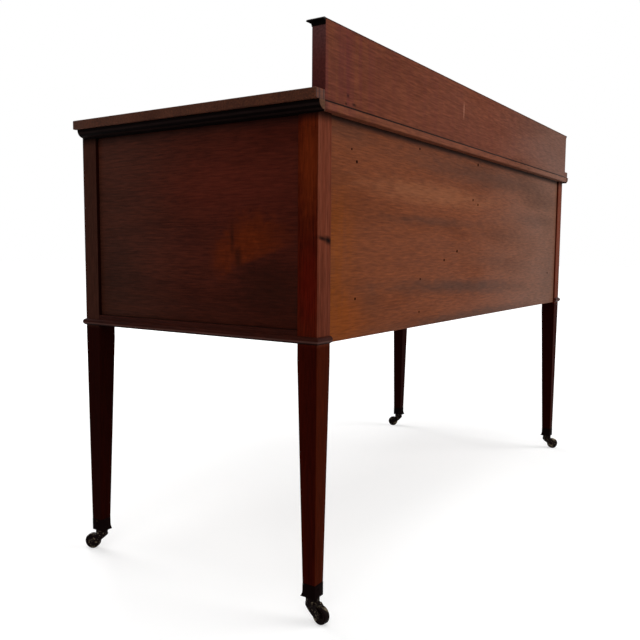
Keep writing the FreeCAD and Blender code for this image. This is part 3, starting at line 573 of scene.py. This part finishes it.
def ovolo_marks(wood, colour):
    """Painted highlight lines along the end mouldings, and bare end grain where they stop at the back."""
    # Painted highlights along the mouldings' lower edges
    for level, half_width in ((0.7388, 0.0026), (0.7330, 0.0014)):
        lip = wood.apart(wood.z, level)
        colour = wood.blend(wood.remap(lip, half_width, 0.3 * half_width), colour, OVOLO_HIGHLIGHT)
    return wood.blend(wood.remap(wood.y, 0.2560, 0.2567), colour, wood.finish.bare_wood)


def cap_marks(wood, colour):
    """A painted grey highlight along the top edge of the gallery's moulding, at its near end."""
    # Painted highlight along the cap's top edge
    rubbed = wood.times(wood.remap(wood.x, 0.582, 0.590), wood.remap(wood.z, 0.8528, 0.8540))
    return wood.blend(rubbed, colour, CAP_HIGHLIGHT)


def bead_marks(wood, colour):
    """A painted highlight line along the beads over painted shade on their under-edge."""
    line = wood.apart(wood.z, 0.4138)
    colour = wood.blend(wood.remap(line, 0.0018, 0.0006, 0.0, 0.6), colour, BEAD_HIGHLIGHT)
    return wood.blend(wood.remap(wood.z, 0.4122, 0.4114), colour, BEAD_SHADE)


# Each timber's name, tones, run of the grain, pores, age, gloss, marks and the nodes made of it
TIMBERS = (
    ("upright_mahogany", "post", "Z", 0.5, 0.5, 0.004, post_marks,
     (*("leg_" + corner for corner in CORNERS), "kneehole_stiles", "kneehole_brackets",
      "partition_right", "partition_left")),
    ("rail_mahogany", "post", "X", 0.5, 0.5, 0.1, None,
     ("front_top_rail", "drawer_dividers", "bottom_rails", "kneehole_rail", *DRAWER_FRONTS)),
    ("end_panel_mahogany", "end", "Y", 0.5, 0.5, 0.02, end_marks,
     ("side_panel_right", "side_panel_left")),
    ("end_rail_mahogany", "end_rail", "Y", 0.5, 0.5, 0.02, bead_marks, ("side_rails", "base_beads")),
    ("back_boards", "back", "X", 0.35, 0.5, 0.02, back_marks, ("back_panel",)),
    ("gallery_boards", "gallery", "X", 0.4, 0.4, 0.01, gallery_marks, ("gallery_board", "back_strip")),
    ("top_boards", "slab", "X", 0.5, 0.5, 0.05, slab_marks, ("top_board",)),
    ("dark_moulding_x", "moulding", "X", 0.3, 0.3, 0.006, cap_marks, ("gallery_moulding",)),
    ("dark_moulding_y", "moulding", "Y", 0.3, 0.3, 0.006, ovolo_marks, ("side_mouldings",)),
    ("lining_along_x", "lining", "X", 0.6, 0.4, 0.05, None,
     ("back_top_rail", "kneehole_soffit", "drawer_stops")),
    ("lining_along_y", "lining", "Y", 0.6, 0.4, 0.05, None,
     ("pedestal_bottoms", "drawer_runners", "drawer_kickers", *DRAWER_BOXES)),
)

# Tooled lines of the leather: how far each lies inside the first one, and its half width
TOOLED_LINES = ((0.0, 1.1 * MM), (6.0 * MM, 0.5 * MM), (12.0 * MM, 0.5 * MM))
PEBBLES_PER_METRE = 900.0


def make_hide(finish, tooled, centre_y):
    """Waxed leather, pebbled and rubbed in patches; tooled is half the size of its gilt border."""
    material, graph, shader, place = new_material("writing_hide")
    pebbles = graph.add("ShaderNodeTexVoronoi", {"Vector": place, "Scale": PEBBLES_PER_METRE})
    wear = graph.noise(place, (24.0, 30.0, 30.0), 8.0, 0.4)
    colour = graph.blend(graph.remap(wear, 0.3, 0.85), finish.hide, finish.hide_worn)
    x, y = graph.split(place)[:2]
    from_end = graph.minus(tooled[0], graph.size_of(x))
    from_side = graph.minus(tooled[1], graph.apart(y, centre_y))
    inside = graph.math("MINIMUM", from_end, from_side)
    gilt = 0.0
    for offset, half_width in TOOLED_LINES:
        line = graph.math("LESS_THAN", graph.apart(inside, offset), half_width)
        gilt = graph.math("MAXIMUM", gilt, line)
    rubbed = graph.times(gilt, graph.remap(wear, 0.72, 0.38))
    graph.feed(shader, {
        "Base Color": graph.blend(rubbed, colour, finish.gilding),
        "Metallic": rubbed,
        "Roughness": graph.remap(wear, 0.3, 0.75, 0.62, 0.42),
        "Normal": graph.bump(pebbles.outputs["Distance"], 0.35),
        "Specular IOR Level": 0.2,
    })
    return material


def make_metal(name, clean, dark, cleaned, gloss=0.12, spots=55.0):
    """Old metal that is rubbed bright in spots; cleaned is how much of it shows."""
    material, graph, shader, place = new_material(name)
    grime = graph.noise(place, (spots, spots, spots), 4.0, 0.4)
    scuffs = graph.noise(place, (700.0, 700.0, 300.0))
    bright = graph.plus(grime, graph.times(scuffs, 0.25))
    share = graph.remap(bright, 0.9 - cleaned, 1.05 - cleaned)
    graph.feed(shader, {
        "Base Color": graph.blend(share, dark, clean),
        "Metallic": share,
        "Roughness": graph.remap(share, 0.0, 1.0, 0.5, 0.28),
        "Normal": graph.bump(grime, 0.15),
        "Specular IOR Level": gloss,
    })
    return material


# Modelling helpers

# Turns that lay an upright cylinder along an axis
ALONG_X = (0, math.pi / 2, 0)
ALONG_Y = (math.pi / 2, 0, 0)


def take_up(*pieces):
    """These pieces alone selected, and the first of them active."""
    for other in bpy.context.view_layer.objects:
        other.select_set(False)
    for piece in pieces:
        piece.select_set(True)
    bpy.context.view_layer.objects.active = pieces[0] if pieces else None


def named(piece, name):
    piece.name = name
    piece.data.name = name
    return piece


def started(name):
    """The primitive just added, named, with its place, turn and scale put into its mesh."""
    bpy.ops.object.transform_apply(location=True, rotation=True, scale=True)
    return named(bpy.context.view_layer.objects.active, name)


def add_block(name, centre, size):
    take_up()
    bpy.ops.mesh.primitive_cube_add(size=1.0, location=centre, scale=size)
    return started(name)


def add_cylinder(name, vertices, radius, depth, centre=(0, 0, 0), turn=(0, 0, 0)):
    take_up()
    bpy.ops.mesh.primitive_cylinder_add(
        vertices=vertices, radius=radius, depth=depth, location=centre, rotation=turn
    )
    return started(name)


def add_modifier(piece, name, kind, **settings):
    modifier = piece.modifiers.new(name, kind)
    for setting, value in settings.items():
        setattr(modifier, setting, value)


def add_bevel(piece, name, width, segments, degrees):
    """Rounding of the edges that are sharper than an angle."""
    add_modifier(piece, name, "BEVEL", width=width, segments=segments, limit_method="ANGLE",
                 angle_limit=math.radians(degrees))


def round_edges(piece, width, segments, degrees=30):
    """Round the active piece's edges for good."""
    add_bevel(piece, "rounding", width, segments, degrees)
    bpy.ops.object.modifier_apply(modifier="rounding")


def combine(piece, other, operation):
    """Cut the other piece from this one or join it on, and drop the other."""
    take_up(piece)
    add_modifier(piece, "combining", "BOOLEAN", object=other, operation=operation)
    bpy.ops.object.modifier_apply(modifier="combining")
    bpy.data.objects.remove(other)


def select_facing(piece, direction, least=0.9):
    """In edit mode, select the faces that look in a direction."""
    bpy.ops.object.mode_set(mode="EDIT")
    bpy.ops.mesh.select_all(action="DESELECT")
    bpy.ops.mesh.select_mode(type="FACE")
    bpy.ops.object.mode_set(mode="OBJECT")
    for polygon in piece.data.polygons:
        polygon.select = polygon.normal.dot(Vector(direction)) > least
    bpy.ops.object.mode_set(mode="EDIT")


def placed_copy(piece, name, matrix):
    """A copy with its own mesh, moved there in its mesh."""
    twin = piece.copy()
    twin.data = piece.data.copy()
    twin.data.transform(matrix)
    bpy.context.scene.collection.objects.link(twin)
    return named(twin, name)


def give(piece, material):
    """One material all over a piece."""
    piece.data.materials.clear()
    piece.data.materials.append(material)


def finished(piece, material, degrees=30):
    """The active piece in one material, smooth over edges that are blunter than an angle."""
    bpy.ops.object.mode_set(mode="OBJECT")
    bpy.ops.object.shade_smooth_by_angle(angle=math.radians(degrees))
    give(piece, material)
    return piece


def ease_edges(node, width):
    """Rounded edges on a node, over its own faces joined up."""
    flat = math.radians(0.1)
    add_modifier(node, "joined_faces", "WELD", merge_threshold=0.01 * MM)
    add_modifier(node, "whole_flats", "DECIMATE", decimate_type="DISSOLVE", angle_limit=flat)
    add_bevel(node, "eased_edges", width, 2, 35)
    add_modifier(node, "flat_shading", "WEIGHTED_NORMAL", keep_sharp=True)


def joint_named(name):
    return next(joint for joint in frame["joints"] if joint["name"] == name)


def chosen(context):
    """The colours and sizes that the user has set."""
    return context.scene.table_finish, context.scene.table_details


# Operators

class TABLE_OT_timbers(bpy.types.Operator):
    """Give every timber its grain and colour, and eased edges where its solids don't touch"""

    bl_idname = "writing_table.timbers"
    bl_label = "Timbers"

    def execute(self, context):
        finish, details = chosen(context)
        make_grain_group()
        make_mark_group()
        for *timber, nodes in TIMBERS:
            wood = make_wood(finish, *timber)
            for node in nodes:
                give(frame["nodes"][node], wood)
                if node not in PLAIN_EDGES:
                    ease_edges(frame["nodes"][node], details.edge_ease)
        return {"FINISHED"}


# The leather's pared edge: how wide it is and how far it falls
PARED_WIDTH = 1.2 * MM
PARED_FALL = 0.4 * MM


class TABLE_OT_leather(bpy.types.Operator):
    """Lay the tooled leather into the top"""

    bl_idname = "writing_table.leather"
    bl_label = "Leather"

    def execute(self, context):
        finish, details = chosen(context)
        low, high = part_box("writing_leather")
        size, centre = high - low, (low + high) / 2
        hide = add_block("leather_skiver", centre, size)
        select_facing(hide, (0, 0, 1))
        bpy.ops.mesh.inset(thickness=PARED_WIDTH)
        bpy.ops.mesh.inset(thickness=details.tooling_inset)
        bpy.ops.mesh.subdivide(number_cuts=12)
        bpy.ops.object.mode_set(mode="OBJECT")
        half = size / 2
        for vertex in hide.data.vertices:
            from_end = half.x - abs(vertex.co.x - centre.x)
            from_side = half.y - abs(vertex.co.y - centre.y)
            if min(from_end, from_side) < SAME_PLACE:
                vertex.co.z = min(vertex.co.z, high.z - PARED_FALL)
        tooled = (half.x - details.tooling_inset, half.y - details.tooling_inset)
        finished(hide, make_hide(finish, tooled, centre.y), 40)
        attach(hide, "case")
        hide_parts("writing_leather")
        return {"FINISHED"}


NAIL_DEPTH = 1.2 * MM
NAIL_DISH = 0.12 * MM
NAIL_SUNK = 0.3 * MM
# Nails in the back: X, Z and the share of the largest one's radius
NAILS = (
    (0.485, 0.675, 0.85), (0.500, 0.692, 0.60), (0.273, 0.719, 0.70), (0.004, 0.719, 1.00),
    (0.026, 0.647, 0.85), (-0.001, 0.639, 0.80), (0.101, 0.544, 1.00), (0.161, 0.527, 0.90),
    (0.262, 0.494, 0.70), (0.486, 0.470, 0.75), (0.264, 0.436, 0.65), (-0.498, 0.490, 0.90),
)


class TABLE_OT_nails(bpy.types.Operator):
    """Drive the old nails into the back panel"""

    bl_idname = "writing_table.nails"
    bl_label = "Nails"

    def execute(self, context):
        finish, details = chosen(context)
        iron, graph, shader, place = new_material("rusted_iron")
        rust = graph.noise(place, (400.0, 400.0, 400.0))
        graph.feed(shader, {
            "Base Color": graph.blend(rust, finish.iron, finish.dirt_and_shade),
            "Roughness": 0.8,
            "Specular IOR Level": 0.0,
        })
        radius = details.nail_radius
        head = add_cylinder("nail_head", 20, radius, NAIL_DEPTH, turn=ALONG_Y)
        select_facing(head, (0, 1, 0))
        bpy.ops.mesh.inset(thickness=0.35 * radius)
        bpy.ops.transform.translate(value=(0, -NAIL_DISH, 0))
        finished(head, iron)
        face_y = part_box("back_panel")[1].y
        nails = []
        for x, z, share in NAILS:
            size = Matrix.Diagonal((share, 1.0, share, 1.0))
            spot = Matrix.Translation((x, face_y - NAIL_SUNK, z)) @ size
            nails.append(placed_copy(head, "back_nail", spot))
        bpy.data.objects.remove(head)
        take_up(*nails)
        bpy.ops.object.join()
        row = named(nails[0], "back_nails")
        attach(row, "case")
        return {"FINISHED"}


CUP_SIZE = 22.2 * MM
CUP_INSIDE = 20.0 * MM
CUP_HEIGHT = 20.5 * MM
CUP_FLOOR = 3.0 * MM
CUP_ROUNDING = 0.3 * MM
LIP_HEIGHT = 10.0 * MM
# The lip's curve from its top down: shares of its height and of its reach
LIP_CURVE = ((0.5, 0.2), (0.82, 0.6), (1.0, 1.0))
# The pintle and its riveted end: radius, lowest and highest point from the cup's underside
PINTLE = ((4.0 * MM, -10.6 * MM, 1.5 * MM), (5.2 * MM, -12.2 * MM, -9.8 * MM))
WHEEL_WIDTH = 11.0 * MM
# Share of a wheel's radius by which its tread is rounded
TREAD_ROUNDING = 0.16
# A wheel's side from rim to hub: insets as shares of the radius, and moves outwards as shares of the width
WHEEL_SIDE = ((0.06, 0.0), (0.1, -0.08), (0.28, 0.0), (0.03, 0.07))
SCREW_HEIGHT = 50.0 * MM
SCREW_DEPTH = 0.8 * MM
# Middle of the slot's cutter along the screw
SLOT_PLACE = 0.5 * MM
SLOT_WIDTH = 0.5 * MM
SCREW_ROUNDING = 0.12 * MM
FORK_EASE = 0.4 * MM


class TABLE_OT_castors(bpy.types.Operator):
    """Make the castors' cups, turn their wheels and drive the cups' screws"""

    bl_idname = "writing_table.castors"
    bl_label = "Castors"

    def make_wheel(self, radius, brass):
        """A wheel with a rounded tread, hollowed sides and a hub, its axle along Y."""
        wheel = add_cylinder("turned_wheel", 64, radius, WHEEL_WIDTH, turn=ALONG_Y)
        round_edges(wheel, TREAD_ROUNDING * radius, 4, 60)
        for side in (1, -1):
            select_facing(wheel, (0, side, 0), 0.999)
            for inset, outwards in WHEEL_SIDE:
                bpy.ops.mesh.inset(thickness=inset * radius)
                bpy.ops.transform.translate(value=(0, side * outwards * WHEEL_WIDTH, 0))
        return finished(wheel, brass)

    def make_cup(self, bottom, lip, brass):
        """A square cup and its riveted pintle about the Z axis, with a lip that curves out towards -Y."""
        top, lip_top = bottom + CUP_HEIGHT, bottom + LIP_HEIGHT
        cup = add_block("castor_cup", (0, 0, (top + lip_top) / 2), (CUP_SIZE, CUP_SIZE, top - lip_top))
        select_facing(cup, (0, 0, -1))
        fallen, depth = 0.0, CUP_SIZE
        for fall, reach in LIP_CURVE:
            step = (fall - fallen) * LIP_HEIGHT
            spread = (CUP_SIZE + reach * lip) / depth
            bpy.ops.mesh.extrude_region_move(TRANSFORM_OT_translate={"value": (0, 0, -step)})
            bpy.ops.transform.resize(value=(1, spread, 1), center_override=(0, CUP_SIZE / 2, 0))
            fallen, depth = fall, depth * spread
        bpy.ops.object.mode_set(mode="OBJECT")
        round_edges(cup, CUP_ROUNDING, 2, 40)
        room = (0, 0, bottom + CUP_FLOOR + CUP_HEIGHT / 2)
        combine(cup, add_block("foot_room", room, (CUP_INSIDE, CUP_INSIDE, CUP_HEIGHT)), "DIFFERENCE")
        for radius, low, high in PINTLE:
            middle = (0, 0, bottom + (low + high) / 2)
            combine(cup, add_cylinder("pintle", 48, radius, high - low, middle), "UNION")
        return finished(cup, brass)

    def make_screw(self, radius, brass):
        """A countersunk head with a slot, facing +X."""
        screw = add_cylinder("cup_screw", 24, radius, SCREW_DEPTH, turn=ALONG_X)
        slot_size = (SCREW_DEPTH, 3 * radius, SLOT_WIDTH)
        combine(screw, add_block("slot_cutter", (SLOT_PLACE, 0, 0), slot_size), "DIFFERENCE")
        round_edges(screw, SCREW_ROUNDING, 2)
        return finished(screw, brass)

    def execute(self, context):
        finish, details = chosen(context)
        brass = make_metal("cup_brass", finish.brass_clean, finish.cup_dark, 0.1, 0.004)
        forks = make_metal("fork_brass", finish.wheel_clean, finish.cup_dark, 0.21, 0.02, 330.0)
        rubbed = make_metal("wheel_brass", finish.wheel_clean, finish.cup_dark, 0.28, 0.02)
        low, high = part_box("castor_wheel_front_right")
        wheel = self.make_wheel((high.z - low.z) / 2, rubbed)
        screw = self.make_screw(details.screw_radius, brass)
        cup_bottom = joint_named("castor_front_right_swivel")["pos_m"][2]
        cup = self.make_cup(cup_bottom, details.cup_lip, brass)
        for corner in CORNERS:
            fork = frame["nodes"]["castor_horn_" + corner]
            give(fork, forks)
            ease_edges(fork, FORK_EASE)
            spin = joint_named("wheel_%s_spin" % corner)
            axis = Vector(spin["axis"])
            turn = Matrix.Rotation(math.atan2(-axis.x, axis.y), 4, "Z")
            twin = placed_copy(wheel, "wheel_" + corner, Matrix.Translation(spin["pos_m"]) @ turn)
            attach(twin, "wheel_" + corner)
            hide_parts("castor_wheel_" + corner)
            pivot = Vector(joint_named("castor_%s_swivel" % corner)["pos_m"])
            inward = Matrix.Rotation(0.0 if pivot.y > 0 else math.pi, 4, "Z")
            foot = Matrix.Translation((pivot.x, pivot.y, 0))
            shoe = placed_copy(cup, "castor_cup_" + corner, foot @ inward)
            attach(shoe, "case")
            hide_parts("castor_sockets")
            outward = 0.0 if pivot.x > 0 else math.pi
            sideways = math.pi / 2 if pivot.y > 0 else -math.pi / 2
            for label, heading in (("end", outward), ("side", sideways)):
                reach = Matrix.Rotation(heading, 4, "Z") @ Matrix.Translation((CUP_SIZE / 2, 0, SCREW_HEIGHT))
                head = placed_copy(screw, "cup_screw_%s_%s" % (corner, label), foot @ reach)
                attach(head, "case")
        for pattern in (wheel, screw, cup):
            bpy.data.objects.remove(pattern)
        return {"FINISHED"}


BAIL_DROP = 30.0 * MM
PIN_LENGTH = 6.0 * MM
PIN_RADIUS = 2.0 * MM
COLLAR_LENGTH = 7.0 * MM
COLLAR_RADIUS = 3.4 * MM
COLLAR_ROUNDING = 0.6 * MM
BRASS_EASE = 0.3 * MM
# How much longer the knop is than it is thick
KNOP_STRETCH = 1.6


class TABLE_OT_handles(bpy.types.Operator):
    """Bend the bails and finish the handles and locks in brass"""

    bl_idname = "writing_table.handles"
    bl_label = "Handles"

    def make_bail(self, brass, details):
        """A bowed rod with a knop in its middle, hung from the line through its two pins."""
        node_low, node_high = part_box("bail_centre_left")
        pin_x = (node_high.x - node_low.x) / 2
        collar_out = pin_x - PIN_LENGTH
        collar_in = collar_out - COLLAR_LENGTH
        bow_x = (collar_out + collar_in) / 2
        bow = (bow_x ** 2 + BAIL_DROP ** 2) / (2 * BAIL_DROP)
        middle_z = bow - BAIL_DROP
        half_turn = math.atan2(bow_x, middle_z)
        take_up()
        bpy.ops.mesh.primitive_circle_add(vertices=20, radius=details.rod_radius, location=(bow, 0, 0))
        rod = started("bail_rod")
        bpy.ops.object.mode_set(mode="EDIT")
        bpy.ops.mesh.select_all(action="SELECT")
        bpy.ops.mesh.spin(steps=56, angle=2 * half_turn, center=(0, 0, 0), axis=(0, 1, 0))
        bpy.ops.object.mode_set(mode="OBJECT")
        middle = sum((vertex.co for vertex in rod.data.vertices), Vector()) / len(rod.data.vertices)
        swing = math.atan2(-middle.x, -middle.z)
        rod.data.transform(Matrix.Translation((0, 0, middle_z)) @ Matrix.Rotation(-swing, 4, "Y"))
        parts = [rod]
        turnings = ((COLLAR_RADIUS, collar_in, collar_out), (PIN_RADIUS, collar_out, pin_x))
        for sign in (1, -1):
            for radius, start, end in turnings:
                place = (sign * (start + end) / 2, 0, 0)
                collar = add_cylinder("bail_collar", 28, radius, end - start, place, ALONG_X)
                round_edges(collar, COLLAR_ROUNDING, 3)
                parts.append(collar)
        take_up()
        bpy.ops.mesh.primitive_uv_sphere_add(segments=24, ring_count=14, radius=details.knop_radius,
                                             location=(0, 0, -BAIL_DROP), scale=(KNOP_STRETCH, 1, 1))
        parts.append(started("bail_knop"))
        take_up(*parts)
        bpy.ops.object.join()
        bpy.ops.object.mode_set(mode="EDIT")
        bpy.ops.mesh.select_all(action="SELECT")
        bpy.ops.mesh.remove_doubles(threshold=SAME_PLACE)
        bpy.ops.mesh.fill_holes(sides=0)
        bpy.ops.mesh.normals_make_consistent(inside=False)
        return finished(rod, brass, 35)

    def execute(self, context):
        finish, details = chosen(context)
        brass = make_metal("handle_brass", finish.brass_clean, finish.brass_dark, 0.46)
        for drawer in DRAWERS:
            give(frame["nodes"]["drawer_brass_" + drawer], brass)
            ease_edges(frame["nodes"]["drawer_brass_" + drawer], BRASS_EASE)
        bail = self.make_bail(brass, details)
        for name in BAILS:
            pivot = joint_named("bail_%s_swing" % name)["pos_m"]
            twin = placed_copy(bail, "bail_grip_" + name, Matrix.Translation(pivot))
            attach(twin, "bail_" + name)
            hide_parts("bail_" + name)
        bpy.data.objects.remove(bail)
        return {"FINISHED"}


WHITE = (1.0, 1.0, 1.0, 1.0)
FLOOR_WIDTH = 60.0
FLOOR_GREY = (0.6, 0.6, 0.6, 1.0)
# The floor's own light near the table, and the distances over which it grows to full white
FLOOR_LIFT = 0.45
LIFT_START = 0.8
LIFT_END = 4.0
# The surround's strength as a light
SURROUND_LIGHT = 0.34
# Lamps: name, place, width and watts, all turned to one point
LAMP_TARGET = (0.0, 0.0, 0.5)
LAMPS = (
    ("back_softbox", (-1.6, 3.2, 1.9), 2.4, 88.0),
    ("end_softbox", (2.6, 1.2, 2.6), 2.0, 30.0),
    ("front_softbox", (-0.4, -3.4, 2.2), 2.4, 80.0),
    ("top_softbox", (0.0, 0.0, 3.4), 2.4, 45.0),
)
# The camera: lens in millimetres, place in metres, turns in radians
CAMERA_LENS = 41.21
CAMERA_PLACE = (1.4413, 0.8116, 0.5403)
CAMERA_HEADING = math.pi - 0.98549
CAMERA_PITCH = 0.09244
CAMERA_ROLL = 0.00734


class TABLE_OT_stage(bpy.types.Operator):
    """Set the floor, the lights and the camera"""

    bl_idname = "writing_table.stage"
    bl_label = "Stage"

    def add_lamp(self, name, place, width, watts):
        lamp = bpy.data.lights.new(name, "AREA")
        lamp.shape = "SQUARE"
        lamp.size = width
        lamp.energy = watts
        holder = bpy.data.objects.new(name, lamp)
        bpy.context.scene.collection.objects.link(holder)
        holder.location = place
        holder.rotation_euler = (Vector(LAMP_TARGET) - Vector(place)).to_track_quat("-Z", "Y").to_euler()

    def seen_as_background(self, graph):
        """1 for the camera, for mirrors and through glass, and 0 for light that falls on the table."""
        path = graph.add("ShaderNodeLightPath").outputs
        direct = graph.math("MAXIMUM", path["Is Camera Ray"], path["Is Glossy Ray"])
        return graph.math("MAXIMUM", direct, path["Is Transmission Ray"])

    def make_floor(self):
        """Pale floor that keeps the table's shadow and looks white to the camera."""
        take_up()
        bpy.ops.mesh.primitive_plane_add(size=FLOOR_WIDTH)
        floor = started("floor")
        material, graph, shader, place = new_material("pale_floor")
        away = graph.vector("LENGTH", place)
        lift = graph.remap(away, LIFT_START, LIFT_END, FLOOR_LIFT, 1.0)
        graph.feed(shader, {
            "Base Color": FLOOR_GREY,
            "Roughness": 0.9,
            "Specular IOR Level": 0.0,
            "Emission Color": WHITE,
            "Emission Strength": graph.times(self.seen_as_background(graph), lift),
        })
        give(floor, material)

    def make_world(self):
        """Even white surround, dimmer as a light than as a background."""
        world = bpy.data.worlds.new("studio")
        bpy.context.scene.world = world
        world.use_nodes = True
        graph = Graph(world.node_tree)
        seen = self.seen_as_background(graph)
        strength = graph.remap(seen, 0.0, 1.0, SURROUND_LIGHT, 1.0)
        graph.feed(world.node_tree.nodes["Background"], {"Color": WHITE, "Strength": strength})

    def execute(self, context):
        self.make_floor()
        self.make_world()
        for lamp in LAMPS:
            self.add_lamp(*lamp)
        camera = bpy.data.cameras.new("camera")
        camera.lens = CAMERA_LENS
        holder = bpy.data.objects.new("camera", camera)
        context.scene.collection.objects.link(holder)
        turn = Matrix.Rotation(CAMERA_HEADING, 4, "Z") @ Matrix.Rotation(math.pi / 2 - CAMERA_PITCH, 4, "X")
        turn = turn @ Matrix.Rotation(CAMERA_ROLL, 4, "Z")
        holder.matrix_world = Matrix.Translation(CAMERA_PLACE) @ turn
        context.scene.camera = holder
        context.scene.view_settings.view_transform = "Standard"
        return {"FINISHED"}


OPERATORS = (
    TABLE_OT_timbers, TABLE_OT_leather, TABLE_OT_nails,
    TABLE_OT_castors, TABLE_OT_handles, TABLE_OT_stage,
)


class TABLE_PT_sidebar(bpy.types.Panel):
    """Lists the steps and the sizes and colours they use"""

    bl_idname = "TABLE_PT_sidebar"
    bl_label = "Writing table"
    bl_space_type = "VIEW_3D"
    bl_region_type = "UI"
    bl_category = "Table"

    def draw(self, context):
        for settings in (context.scene.table_finish, context.scene.table_details):
            for name in settings.bl_rna.properties.keys():
                if name not in ("rna_type", "name"):
                    self.layout.prop(settings, name)
        for operator in OPERATORS:
            self.layout.operator(operator.bl_idname)


CLASSES = (TableFinish, TableDetails, *OPERATORS, TABLE_PT_sidebar)


def register():
    for part in CLASSES:
        bpy.utils.register_class(part)
    bpy.types.Scene.table_finish = bpy.props.PointerProperty(type=TableFinish)
    bpy.types.Scene.table_details = bpy.props.PointerProperty(type=TableDetails)


def unregister():
    del bpy.types.Scene.table_details
    del bpy.types.Scene.table_finish
    for part in reversed(CLASSES):
        bpy.utils.unregister_class(part)


def main():
    register()
    bpy.ops.writing_table.timbers()
    bpy.ops.writing_table.leather()
    bpy.ops.writing_table.nails()
    bpy.ops.writing_table.castors()
    bpy.ops.writing_table.handles()
    bpy.ops.writing_table.stage()


if __name__ == "__main__":
    main()
